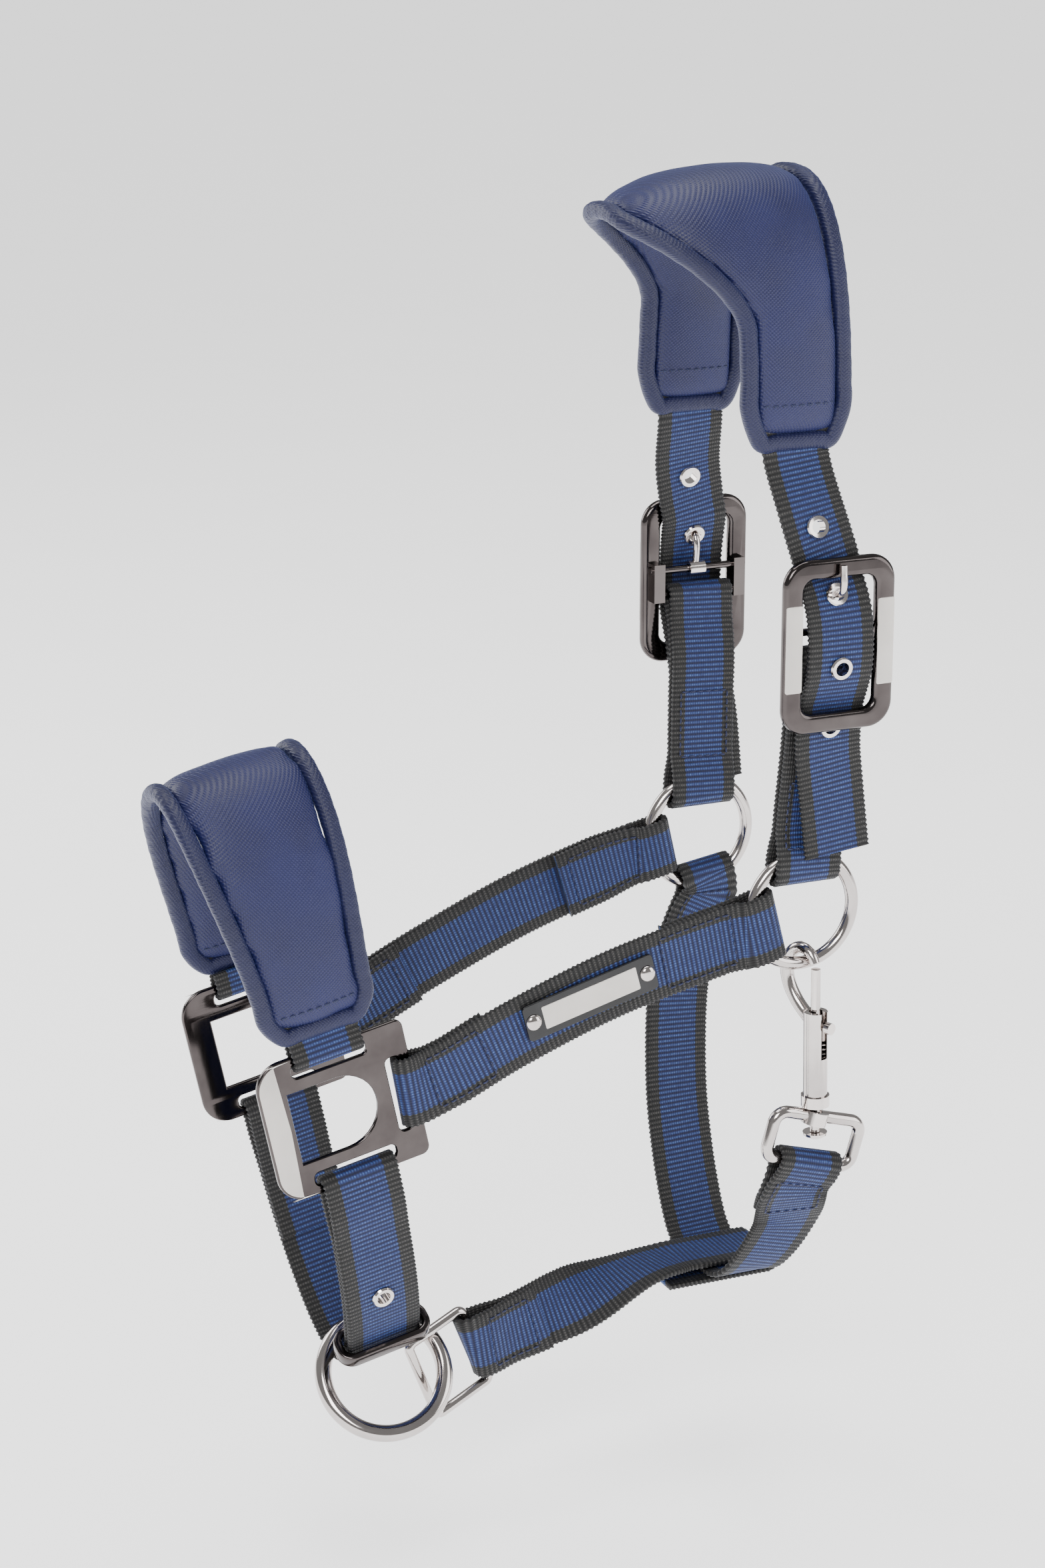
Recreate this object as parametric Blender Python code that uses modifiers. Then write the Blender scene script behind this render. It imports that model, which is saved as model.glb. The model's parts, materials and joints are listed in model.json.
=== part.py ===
"""A horse's headcollar of webbing, two padded sleeves and metal fittings.

Lengths are in millimetres and become metres where a mesh or curve is made. The nose points
along -X, the near (left) side is -Y and +Z is up. Heights are counted from the near ring's
level, and POLL_HEIGHT moves the whole collar so that its poll seat is the world's origin.
"""

import math

import bmesh
import bpy
from mathutils import Matrix, Vector

MM = 0.001
POLL_HEIGHT = 242.75

WEB_WIDTH = 25.0
WEB_THICK = 2.2
CHIN_WIDTH = 27.0
GAP = 0.3
PAIR = WEB_THICK / 2 + GAP          # half the pitch of two webs that lie on each other
PLATE_FOLD = 3.2                    # radius of a web's middle where it turns round a plate's bar

RING_RADIUS = 19.7
RING_WIRE = 2.3
RING_FOLD = RING_WIRE + GAP + WEB_THICK / 2 + 0.25
RING_CHORD = 14.8                   # the ring's depth at the edges of a web that hangs on it
PINCHED_WIDTH = 21.0                # a web gathered in beside its neighbour on the far ring
PINCHED_CHORD = 16.3
NEAR_RING = Vector((0.0, -40.0, -2.0))
FAR_RING = Vector((0.0, 40.0, 4.0))

BUCKLE_HALF_WIDTH = 21.0
BUCKLE_HALF_HEIGHT = 30.0
BUCKLE_OPENING = (13.8, 23.2)
BUCKLE_MID = 95.6
BUCKLE_OUT = 54.0                   # the frame's middle, measured out from the centre plane
BUCKLE_X = 3.5
CHAPE_BAR = (91.3, 50.1)            # height, distance out
TONGUE_BAR = (100.1, 50.9)
BAR_RADIUS = 1.3

FACE_TILT = math.radians(12.0)      # the nose part leans forward by this
FACE_CENTRE = Vector((-171.0, 0.0, -50.4))
PLATE_OUT = 38.0
PLATE_HALF = (27.0, 25.3)
PLATE_THICK = 2.0
SLOT_V = 20.0
SLOT_U = 20.5
SLOT_HALF_WIDTH = 2.4
SLOT_HALF_LENGTH = 13.6
BAR_V = 24.0                        # middle of a fold round the top or bottom bar
BAR_U = 24.2
WINDOW = (-17.2, -0.2, 13.0)        # straight side, centre of the round end, half height

NOSE_BASE_V = 33.0
NOSE_RISE = 80.0
CROWN_BASE = 163.0
CROWN_RISE = 84.0
CROWN_OUT = 39.0
CHIN_DROP = 84.0
CHIN_U = 0.5

LEAD_RADIUS = 21.5
LEAD_WIRE = 3.0
LEAD_TILT = math.radians(42.0)
EYELET_HOLE = 3.05

SNAP_AXIS_X = 4.4
SNAP_AXIS_Y = -45.2
HOOK_DIRECTION = Vector((-0.35, 0.937, 0.0)).normalized()
EYE_ROLL = math.radians(16.0)
EYE_CENTRE = Vector((4.0, -45.0, -86.6))
EYE_HALF = (17.6, 8.6)
EYE_WIRE = 2.3

SOLIDS = bpy.data.collections.new("headcollar")
CUTTERS = bpy.data.collections.new("headcollar_cutters")


# ---------------------------------------------------------------- scene and materials

def clear_scene():
    for obj in list(bpy.data.objects):
        bpy.data.objects.remove(obj, do_unlink=True)
    bpy.context.scene.collection.children.link(SOLIDS)
    bpy.context.scene.collection.children.link(CUTTERS)


def material(name, colour, roughness, metallic):
    made = bpy.data.materials.new(name)
    made.use_nodes = True
    shader = made.node_tree.nodes["Principled BSDF"]
    shader.inputs["Base Color"].default_value = (*colour, 1.0)
    shader.inputs["Roughness"].default_value = roughness
    shader.inputs["Metallic"].default_value = metallic
    made.diffuse_color = (*colour, 1.0)
    return made


MATERIALS = {
    "webbing": material("webbing", (0.02, 0.05, 0.22), 0.8, 0.0),
    "neoprene": material("neoprene", (0.015, 0.025, 0.13), 0.6, 0.0),
    "gunmetal": material("gunmetal", (0.16, 0.15, 0.16), 0.2, 1.0),
    "chrome": material("chrome", (0.6, 0.58, 0.58), 0.12, 1.0),
    "black_plate": material("black_plate", (0.02, 0.02, 0.022), 0.25, 0.6),
    "spring_steel": material("spring_steel", (0.5, 0.5, 0.5), 0.3, 1.0),
}


def world(point):
    """A point in millimetres above ring level, as a place in the world in metres."""
    return Vector((point[0], point[1], point[2] - POLL_HEIGHT)) * MM


def place(obj, name, slot):
    """Names an object, gives it its material and puts it among the solids."""
    obj.name = name
    obj.data.name = name
    obj.data.materials.clear()
    obj.data.materials.append(MATERIALS[slot])
    for home in list(obj.users_collection):
        home.objects.unlink(obj)
    SOLIDS.objects.link(obj)
    return obj


def as_cutter(obj):
    for home in list(obj.users_collection):
        home.objects.unlink(obj)
    CUTTERS.objects.link(obj)
    obj.hide_render = True
    obj.display_type = "WIRE"
    return obj


def boolean(obj, other, operation):
    modifier = obj.modifiers.new(other.name, "BOOLEAN")
    modifier.object = as_cutter(other)
    modifier.operation = operation
    modifier.solver = "EXACT"
    return obj


def pivot(name, point, children):
    """An empty on a joint's axis, which the joint's moving pieces hang from."""
    empty = bpy.data.objects.new(name, None)
    empty.empty_display_size = 0.01
    empty.location = world(point)
    SOLIDS.objects.link(empty)
    for child in children:
        child.parent = empty
        child.matrix_parent_inverse = Matrix.Translation(-empty.location)
    return empty


def mesh_object(name, build):
    """An object whose mesh is what build(bm) made, with its faces turned outwards."""
    bm = bmesh.new()
    build(bm)
    bmesh.ops.recalc_face_normals(bm, faces=bm.faces)
    mesh = bpy.data.meshes.new(name)
    bm.to_mesh(mesh)
    bm.free()
    return bpy.data.objects.new(name, mesh)


def basis(x_axis, y_axis, z_axis, origin):
    """The matrix that carries a shape's own axes to these axes at this point."""
    turn = Matrix((x_axis, y_axis, z_axis)).transposed().to_4x4()
    return Matrix.Translation(world(origin)) @ turn


def facing(axis, origin):
    """A matrix whose Z runs along axis."""
    return Matrix.Translation(world(origin)) @ axis.to_track_quat("Z", "Y").to_matrix().to_4x4()


def cylinder(name, start, end, radius, sides=20, end_radius=None):
    axis = Vector(end) - Vector(start)

    def build(bm):
        bmesh.ops.create_cone(
            bm, cap_ends=True, segments=sides, radius1=radius * MM,
            radius2=(radius if end_radius is None else end_radius) * MM, depth=axis.length * MM)

    obj = mesh_object(name, build)
    obj.matrix_world = facing(axis.normalized(), (Vector(start) + Vector(end)) / 2)
    return obj


def box(name, matrix, low, high):
    """A box between two corners given in the axes of matrix."""
    size = Vector(high) - Vector(low)
    middle = (Vector(high) + Vector(low)) / 2

    def build(bm):
        shape = Matrix.Translation(middle * MM) @ Matrix.Diagonal((*(size * MM), 1.0))
        bmesh.ops.create_cube(bm, size=1.0, matrix=shape)

    obj = mesh_object(name, build)
    obj.matrix_world = matrix
    return obj


def turned(name, slot, profile, matrix, steps=16):
    """A turned piece: profile is (radius, height) points round its section, closed."""
    mesh = bpy.data.meshes.new(name)
    points = [(r * MM, 0.0, h * MM) for r, h in profile]
    edges = [(i, (i + 1) % len(points)) for i in range(len(points))]
    if min(r for r, _ in profile) == 0:
        edges = edges[:-1]
    mesh.from_pydata(points, edges, [])
    obj = place(bpy.data.objects.new(name, mesh), name, slot)
    screw = obj.modifiers.new("turn", "SCREW")
    screw.axis = "Z"
    screw.steps = steps
    screw.render_steps = steps
    screw.use_merge_vertices = True
    screw.merge_threshold = 0.00001
    area = sum(r * k - s * h for (r, h), (s, k) in zip(profile, profile[1:] + profile[:1]))
    screw.use_normal_flip = area > 0
    obj.matrix_world = matrix
    return obj


def torus(name, slot, centre, axis, radius, wire, sides=(44, 10)):
    bpy.ops.mesh.primitive_torus_add(
        major_radius=radius * MM, minor_radius=wire * MM,
        major_segments=sides[0], minor_segments=sides[1])
    obj = bpy.context.active_object
    obj.matrix_world = facing(axis, centre)
    return place(obj, name, slot)


def wire(name, points, radius, closed=False, radii=None, turns=4):
    """A round wire along points, as a mesh."""
    curve = bpy.data.curves.new(name, "CURVE")
    curve.dimensions = "3D"
    curve.bevel_depth = radius * MM
    curve.bevel_resolution = turns
    curve.use_fill_caps = not closed
    spline = curve.splines.new("POLY")
    spline.points.add(len(points) - 1)
    for i, (corner, point) in enumerate(zip(spline.points, points)):
        corner.co = (*world(point), 1.0)
        corner.radius = radii[i] if radii else 1.0
    spline.use_cyclic_u = closed
    return meshed(name, curve)


def meshed(name, curve):
    """The curve's solid as a mesh object, so that a Boolean can use it."""
    helper = bpy.data.objects.new(name + "_curve", curve)
    bpy.context.scene.collection.objects.link(helper)
    graph = bpy.context.evaluated_depsgraph_get()
    mesh = bpy.data.meshes.new_from_object(helper.evaluated_get(graph))
    bpy.data.objects.remove(helper, do_unlink=True)
    bm = bmesh.new()
    bm.from_mesh(mesh)
    bmesh.ops.remove_doubles(bm, verts=bm.verts, dist=0.000002)
    bmesh.ops.recalc_face_normals(bm, faces=bm.faces)
    bm.to_mesh(mesh)
    bm.free()
    return bpy.data.objects.new(name, mesh)


def flat_part(name, outlines, thickness, edge, matrix):
    """A plate with holes: closed outlines in millimetres, with its rims rounded by edge."""
    curve = bpy.data.curves.new(name, "CURVE")
    curve.dimensions = "2D"
    curve.fill_mode = "BOTH"
    curve.extrude = (thickness / 2 - edge) * MM
    curve.bevel_depth = edge * MM
    curve.bevel_resolution = 0
    curve.offset = -edge * MM
    for outline in outlines:
        spline = curve.splines.new("POLY")
        spline.points.add(len(outline) - 1)
        for corner, (u, v) in zip(spline.points, outline):
            corner.co = (u * MM, v * MM, 0.0, 1.0)
        spline.use_cyclic_u = True
    obj = meshed(name, curve)
    obj.matrix_world = matrix
    return obj


# ---------------------------------------------------------------- paths

def smooth(points, step):
    """Catmull-Rom through points, with a sample about every step."""
    points = [Vector(p) for p in points]
    ends = [points[0] * 2 - points[1], *points, points[-1] * 2 - points[-2]]
    found = []
    for a, b, c, d in zip(ends, ends[1:], ends[2:], ends[3:]):
        count = max(2, round((c - b).length / step))
        for i in range(count):
            t = i / count
            found.append(0.5 * (2 * b + (c - a) * t + (2 * a - 5 * b + 4 * c - d) * t * t
                                + (3 * b - a - 3 * c + d) * t ** 3))
    return [*found, points[-1]]


def tangents(path):
    last = len(path) - 1
    return [(path[min(i + 1, last)] - path[max(i - 1, 0)]).normalized() for i in range(len(path))]


def lengths(path):
    total = [0.0]
    for a, b in zip(path, path[1:]):
        total.append(total[-1] + (b - a).length)
    return total


def ease(t):
    t = min(max(t, 0.0), 1.0)
    return t * t * (3 - 2 * t)


def fold(centre, away, out, radius, count=9):
    """A web's middle round a bar, from its inner side to its outer one; away is where it leaves to."""
    angles = [math.pi * i / count for i in range(count + 1)]
    return [centre - radius * (out * math.cos(a) + away * math.sin(a)) for a in angles]


def ribbon(name, slot, path, across, width=WEB_WIDTH, closed=False):
    """A flat web along path; across holds its width's direction at each point, and width may be a list."""
    count = len(path)
    widths = width if isinstance(width, list) else [width] * count
    if closed:
        along = [(path[(i + 1) % count] - path[i - 1]).normalized() for i in range(count)]
    else:
        along = tangents(path)

    def build(bm):
        rows = []
        for point, direction, side, wide in zip(path, along, across, widths):
            side = (side - direction * side.dot(direction)).normalized()
            up = direction.cross(side)
            half, thick = side * wide / 2, up * WEB_THICK / 2
            corners = (half + thick, thick - half, -half - thick, half - thick)
            rows.append([bm.verts.new(world(point + corner)) for corner in corners])
        pairs = list(zip(rows, rows[1:] + rows[:1] if closed else rows[1:]))
        for here, there in pairs:
            for i in range(4):
                j = (i + 1) % 4
                bm.faces.new((here[i], here[j], there[j], there[i]))
        if not closed:
            bm.faces.new(rows[0])
            bm.faces.new(rows[-1])

    return place(mesh_object(name, build), name, slot)


def face_point(u, v, out):
    """A point given along, up and out from the middle between the two side plates."""
    cos, sin = math.cos(FACE_TILT), math.sin(FACE_TILT)
    return FACE_CENTRE + Vector((u * cos - v * sin, out, u * sin + v * cos))


FACE_U = Vector((math.cos(FACE_TILT), 0.0, math.sin(FACE_TILT)))
FACE_V = Vector((-math.sin(FACE_TILT), 0.0, math.cos(FACE_TILT)))
X_AXIS, Y_AXIS, Z_AXIS = Vector((1, 0, 0)), Vector((0, 1, 0)), Vector((0, 0, 1))


# ---------------------------------------------------------------- pads

def rounded_power(value, power):
    return math.copysign(abs(value) ** power, value)


def sleeve(name, rings):
    """A padded sleeve with a channel: rings hold (middle, across, out, front, rear, thick, droop)."""
    count = 20
    angles = [2 * math.pi * (i + 0.5) / count for i in range(count)]

    def build(bm):
        rows = []
        for middle, across, out, front, rear, thick, droop in rings:
            centre, half = (rear - front) / 2, (rear + front) / 2
            outer, inner = [], []
            for a in angles:
                x = centre + half * rounded_power(math.cos(a), 0.75)
                y = thick / 2 * rounded_power(math.sin(a), 0.62)
                y -= droop * max(0.0, -x - WEB_WIDTH / 2) ** 2
                outer.append(bm.verts.new(world(middle + across * x + out * y)))
                x = (WEB_WIDTH / 2 + 0.8) * rounded_power(math.cos(a), 0.3)
                y = (WEB_THICK / 2 + 0.7) * rounded_power(math.sin(a), 0.3)
                inner.append(bm.verts.new(world(middle + across * x + out * y)))
            rows.append((outer, inner))
        for (outer, inner), (next_outer, next_inner) in zip(rows, rows[1:]):
            for i in range(count):
                j = (i + 1) % count
                bm.faces.new((outer[i], outer[j], next_outer[j], next_outer[i]))
                bm.faces.new((inner[j], inner[i], next_inner[i], next_inner[j]))
        for outer, inner in (rows[0], rows[-1]):
            for i in range(count):
                j = (i + 1) % count
                bm.faces.new((outer[j], outer[i], inner[i], inner[j]))

    return place(mesh_object(name, build), name, "neoprene")


def crown_arch(angle):
    """The crown's middle line: angle -90 is the near end, +90 the far end."""
    side = rounded_power(math.sin(angle), 0.8) * CROWN_OUT
    rise = max(math.cos(angle), 0.0) ** 0.8 * CROWN_RISE
    return Vector((-6.0, side, CROWN_BASE + rise))


def nose_arch(angle):
    side = math.sin(angle) * (PLATE_OUT + 0.6)
    return face_point(-0.5, NOSE_BASE_V + NOSE_RISE * math.cos(angle), side)


def arch_rings(arch, across, count, shape):
    """Rings for a sleeve over an arch; shape(t) gives front, rear, thick and droop, t being 1 on top."""
    steps = [math.radians(-90 + 180 * i / count) for i in range(count + 1)]
    path = [arch(a) for a in steps]
    found = []
    for angle, point, along in zip(steps, path, tangents(path)):
        out = across.cross(along).normalized()
        found.append((point, across, out, *shape(math.cos(angle))))
    return found


def crown_shape(t):
    flare = ease((t - 0.35) / 0.65)
    return 20.5 + 35.0 * flare, 20.5, 8.5, 0.006 * flare


def nose_shape(t):
    flare = ease(t)
    return 20.5 + 6.5 * flare, 20.5 + 6.5 * flare, 8.5, 0.0


def pads():
    sleeve("crown_pad", arch_rings(crown_arch, X_AXIS, 24, crown_shape))
    sleeve("nose_pad", arch_rings(nose_arch, FACE_U, 24, nose_shape))


# ---------------------------------------------------------------- webs

CROWN_TAIL = (
    (20.0, 47.6, 9.0), (42.0, 47.0, 6.5), (56.0, 47.6, 4.5), (66.0, 49.0, 3.8), (74.0, 51.0, 3.5),
    (84.0, 55.4, 3.5), (92.0, 56.6, 3.5), (100.0, 56.3, 3.5), (106.5, 55.2, 3.3),
    (112.5, 53.1, 2.8), (119.0, 50.3, 1.8), (126.0, 49.5, 0.2), (140.0, 46.2, -3.2),
    (155.0, 40.2, -5.5),
)                                   # height, distance out, place along X
EYELET_HEIGHTS = {"upper": 134.0, "tongue": 112.5, "lower": 90.0, "last": 64.0}
EYELET_NAMES = tuple(EYELET_HEIGHTS)


def crown_side(side):
    return [Vector((x, side * out, z)) for z, out, x in CROWN_TAIL]


def crown_line():
    arch = [crown_arch(math.radians(a)) for a in range(-90, 91, 10)]
    points = crown_side(-1) + arch + crown_side(1)[::-1]
    return smooth(points, 4.5)


def nearest(path, side, height):
    """Index of the path's point at this height, on the side of -1 or +1."""
    here = [i for i, p in enumerate(path) if p.y * side > 5]
    return min(here, key=lambda i: abs(path[i].z - height))


def eyelet_profile():
    outer, tube, half = 4.1, 2.7, WEB_THICK / 2 + GAP
    return [(2.2, -half - 0.6), (3.7, -half - 0.7), (outer, -half), (tube, -half),
            (tube, half), (outer, half), (3.7, half + 0.7), (2.2, half + 0.6)]


def eyelet(web, name, point, along, across):
    """An eyelet, and the hole that it sits in."""
    out = along.cross(across).normalized()
    hole = cylinder(name + "_hole", point - out * 4, point + out * 4, EYELET_HOLE)
    boolean(web, hole, "DIFFERENCE")
    side = (across - along * across.dot(along)).normalized()
    turned(name, "chrome", eyelet_profile(), basis(side, out.cross(side), out, point))


def crown_web():
    path = crown_line()
    web = ribbon("crown_strap", "webbing", path, [X_AXIS] * len(path))
    along = tangents(path)
    for side, label in ((-1, "near"), (1, "far")):
        for spot in EYELET_NAMES:
            i = nearest(path, side, EYELET_HEIGHTS[spot])
            eyelet(web, f"{label}_{spot}_eyelet", path[i], along[i], X_AXIS)


CHAPE_LINE = ((34.0, 40.9), (44.0, 41.8), (56.0, 42.8), (68.0, 43.6), (78.0, 46.0))


def chape(label, side, ring):
    """A web folded round the buckle's bar and the ring, its two layers stitched together."""
    out = Vector((0.0, side, 0.0))
    ring_mid = Vector((ring.x, ring.y, ring.z + RING_CHORD))
    bar_mid = Vector((BUCKLE_X, side * CHAPE_BAR[1], CHAPE_BAR[0]))
    line = [ring_mid]
    for height, distance in CHAPE_LINE:
        t = (height - ring_mid.z) / (bar_mid.z - ring_mid.z)
        line.append(Vector((ring_mid.x + t * (bar_mid.x - ring_mid.x), side * distance, height)))
    line = smooth([*line, bar_mid], 4.0)
    along = tangents(line)
    total = lengths(line)
    inner, outer = [], []
    bar_fold = BAR_RADIUS + GAP + WEB_THICK / 2 + 0.1
    for point, direction, run in list(zip(line, along, total))[1:-1]:
        normal = (out - direction * out.dot(direction)).normalized()
        left = total[-1] - run
        offset = PAIR + (RING_FOLD - PAIR) * ease(1 - (run - 4) / 12)
        offset += (bar_fold - PAIR) * ease(1 - left / 10)
        inner.append(point - normal * offset)
        outer.append(point + normal * offset)
    end = along[-1]
    end_out = (out - end * out.dot(end)).normalized()
    path = inner + fold(bar_mid, -end, end_out, bar_fold) + outer[::-1]
    path += fold(ring_mid, Z_AXIS, out, RING_FOLD)[::-1]
    ribbon(f"{label}_chape", "webbing", path, [X_AXIS] * len(path), closed=True)


CHEEK_LINES = {
    "near": ((-30.0, -9.0), (-72.0, -18.6), (-108.0, -31.0), (-132.0, -41.5)),
    "far": ((-34.0, -3.4), (-72.0, -15.0), (-108.0, -30.0), (-132.0, -41.5)),
}
CHEEK_TAILS = (42.0, 34.0)          # the folded ends' lengths, at the ring and at the plate
CHEEK_RING_WIDTH = {"near": WEB_WIDTH, "far": PINCHED_WIDTH}
CHEEK_RING_DROP = {"near": math.radians(14.5), "far": math.radians(13.0)}
PINCH_RUN = 26.0


def layer(line, out, first, last, tail_range=None, sign=1):
    """Points beside line: first and last are the offsets at its ends, PAIR is the one between."""
    total = lengths(line)
    found = []
    for point, run in zip(line, total):
        left = total[-1] - run
        offset = PAIR + (first - PAIR) * ease(1 - (run - 4) / 12) + (last - PAIR) * ease(1 - (left - 1) / 11)
        if tail_range is None or tail_range[0] <= run <= tail_range[1]:
            found.append(point + sign * out * offset)
    return found


def cheek(label, side, ring):
    """A web between a ring and a side plate, with both ends folded back on its inner face."""
    out = Vector((0.0, side, 0.0))
    end = face_point(BAR_U, -0.8, side * PLATE_OUT)
    points = [Vector((x, side * (PLATE_OUT + 1.2), z)) for x, z in CHEEK_LINES[label]]
    drop = CHEEK_RING_DROP[label]
    toward = Vector((-math.cos(drop), 0.0, -math.sin(drop)))
    chord = RING_CHORD if CHEEK_RING_WIDTH[label] == WEB_WIDTH else PINCHED_CHORD
    start = ring + toward * chord
    line = smooth([start, ring + toward * (chord + 8), *points, end + FACE_U * 6, end], 4.0)
    along = tangents(line)
    total = lengths(line)[-1]
    outer = layer(line, out, RING_FOLD, PLATE_FOLD)[1:-1]
    tail = layer(line, out, RING_FOLD, PLATE_FOLD, (0.1, CHEEK_TAILS[0]), -1)
    foot = layer(line, out, RING_FOLD, PLATE_FOLD, (total - CHEEK_TAILS[1], total - 0.1), -1)
    first = fold(start, toward, out, RING_FOLD)
    last = fold(end, -along[-1], out, PLATE_FOLD)
    path = tail[::-1] + first + outer + last[::-1] + foot[::-1]
    sides = [d.cross(out).normalized() for d in along]
    near_ends = (len(tail) + len(first), len(outer), len(last) + len(foot))
    across = [toward.cross(out)] * near_ends[0] + sides[1:-1] + [sides[-1]] * near_ends[2]
    for i, run in enumerate(lengths(line)[1:len(tail) + 1]):
        if i < len(tail):
            across[len(tail) - 1 - i] = sides[i + 1]
    for i in range(len(foot)):
        across[len(path) - 1 - i] = sides[len(line) - 1 - len(foot) + i]
    from_fold = [abs(run - lengths(path)[len(tail) + 4]) for run in lengths(path)]
    pinch = CHEEK_RING_WIDTH[label] - WEB_WIDTH
    widths = [WEB_WIDTH + pinch * ease(1 - (run - 9) / PINCH_RUN) for run in from_fold]
    ribbon(f"{label}_cheek_strap", "webbing", path, across, widths)


def nose_web():
    """Over the nose inside its pad, down through both top slots and turned up inside."""
    arch = [nose_arch(math.radians(a)) for a in range(-90, 91, 9)]

    def end(side):
        bar = face_point(-0.5, BAR_V, side * PLATE_OUT)
        out = Vector((0.0, side, 0.0))
        turn = fold(bar, FACE_V, out, PLATE_FOLD)
        return [turn[0] + FACE_V * 6.5, turn[0] + FACE_V * 3.0, *turn]

    near, far = end(-1), end(1)
    path = near + smooth(arch, 4.0) + far[::-1]
    ribbon("nose_strap", "webbing", path, [FACE_U] * len(path))


def chin_ref(angle):
    """The chin loop's middle line: angle +90 is at the near plate, -90 at the far one."""
    return face_point(CHIN_U, -BAR_V - CHIN_DROP * math.cos(angle), -PLATE_OUT * math.sin(angle))


def chin_layer(angles, offset_of):
    """Points beside the chin loop's middle line at these angles in degrees."""
    found = []
    for a in angles:
        here = math.radians(a)
        along = (chin_ref(here + 0.01) - chin_ref(here - 0.01)).normalized()
        out = FACE_U.cross(along).normalized()
        found.append(chin_ref(here) + out * offset_of(a))
    return found


KEEPER_ANGLE = 33.0
TAIL_END = 17.0


def chin_web():
    """From the far plate under the chin to the near plate's slot, and back outside as a free tail."""
    def single(a):
        far = (PLATE_FOLD - PAIR) * ease((-a - 72) / 12)
        near = (PLATE_FOLD - PAIR) * ease((a - 72) / 12)
        return PAIR + far - 2 * PAIR * ease((a + 30) / 40) - near

    far_bar = face_point(CHIN_U, -BAR_V, PLATE_OUT)
    near_bar = face_point(CHIN_U, -BAR_V, -PLATE_OUT)
    far_fold = fold(far_bar, -FACE_V, Y_AXIS, PLATE_FOLD)
    near_fold = fold(near_bar, -FACE_V, -Y_AXIS, PLATE_FOLD)
    steps = [85 - 3.4 * i for i in range(51)]
    far_tail = chin_layer([-a for a in steps[:10]], lambda a: -single(a))
    body = chin_layer([-a for a in steps], single)
    tail = chin_layer([a for a in steps if a > TAIL_END],
                      lambda a: PAIR + (PLATE_FOLD - PAIR) * ease((a - 72) / 12))
    path = far_tail[::-1] + far_fold + body + near_fold + tail
    web = ribbon("chin_strap", "webbing", path, [FACE_U] * len(path), CHIN_WIDTH)
    first = len(path) - len(tail)
    along = tangents(path)
    for spot, angle in (("upper", 53.0), ("lower", 24.0)):
        index = min(range(len(tail)), key=lambda i: abs(steps[i] - angle))
        chin_eyelet(web, f"chin_{spot}_eyelet", path[first + index], along[first + index])


def chin_eyelet(web, name, point, along):
    """An eyelet through the tail and the layer under it, long enough to hold both."""
    out = along.cross(FACE_U).normalized()
    if out.y > 0:
        out = -out
    middle = point - out * PAIR
    hole = cylinder(name + "_hole", middle - out * 7, middle + out * 7, EYELET_HOLE)
    boolean(web, hole, "DIFFERENCE")
    profile = [(r, h + math.copysign(PAIR, h)) for r, h in eyelet_profile()]
    side = (FACE_U - along * FACE_U.dot(along)).normalized()
    turned(name, "chrome", profile, basis(side, out.cross(side), out, middle))


THROAT_LINE = (
    (-2.0, 38.8, -33.0), (-8.0, 37.4, -56.0), (-10.0, 34.0, -90.0),
    (-9.5, 29.0, -116.0), (-8.5, 22.5, -136.0), (-8.0, 17.4, -144.0), (-8.0, 11.5, -146.0),
    (-8.0, 0.0, -146.0), (-8.0, -11.5, -146.0), (-6.5, -17.6, -143.6), (-2.5, -23.0, -136.0),
    (1.5, -30.0, -122.0),
)
THROAT_TAILS = (40.0, 26.0)
CONNECT_FOLD = 3.1


def throat_web():
    """From the far ring under the throat to the snap's eye, with both ends folded and stitched."""
    swing = math.radians(9.0)
    hang = Vector((math.sin(swing), 0.0, -math.cos(swing)))
    top_roll = Vector((math.cos(swing), 0.0, math.sin(swing)))
    eye_across = Vector((math.cos(EYE_ROLL), 0.0, -math.sin(EYE_ROLL)))
    bar = eye_point(0.0, -EYE_HALF[1])
    top = FAR_RING + hang * PINCHED_CHORD
    pull = Vector((-0.22, 0.30, -0.93)).normalized()
    eye_out = pull.cross(eye_across).normalized()
    if eye_out.y > 0:
        eye_out = -eye_out
    line = smooth([top, top + hang * 8.0, *THROAT_LINE, bar + pull * 13.0, bar], 4.0)
    along = tangents(line)
    run = lengths(line)
    total = run[-1]
    eye_fold = EYE_WIRE + GAP + WEB_THICK / 2 + 0.1
    across, outs = [], []
    for direction, here in zip(along, run):
        low = ease(here / 40)
        high = ease((here - total + 60) / 45)
        side = top_roll.lerp(X_AXIS, low).lerp(eye_across, high)
        side = (side - direction * side.dot(direction)).normalized()
        across.append(side)
        outs.append(direction.cross(side).normalized())
    flip = 1 if outs[0].y > 0 else -1

    def offset(here):
        left = total - here
        bend = (RING_FOLD - PAIR) * ease(1 - (here - 5) / 12) + (eye_fold - PAIR) * ease(1 - (left - 1) / 10)
        return PAIR + bend

    spots = list(zip(line, outs, across, run))
    main = [(p + flip * o * offset(r), s) for p, o, s, r in spots[1:-1]]
    tail = [(p - flip * o * offset(r), s) for p, o, s, r in spots[1:-1] if r < THROAT_TAILS[0]]
    foot = [(p - flip * o * offset(r), s) for p, o, s, r in spots[1:-1] if r > total - THROAT_TAILS[1]]
    first = [(p, top_roll) for p in fold(top, hang, flip * outs[0], RING_FOLD)]
    last = [(p, eye_across) for p in fold(bar, -along[-1], flip * outs[-1], eye_fold)]
    whole = tail[::-1] + first + main + last[::-1] + foot[::-1]
    path = [p for p, _ in whole]
    along_path = lengths(path)
    fold_run = along_path[len(tail) + len(first) // 2]
    pinch = PINCHED_WIDTH - WEB_WIDTH
    widths = [WEB_WIDTH + pinch * ease(1 - (abs(here - fold_run) - 9) / PINCH_RUN) for here in along_path]
    ribbon("throat_strap", "webbing", path, [s for _, s in whole], widths)


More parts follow.
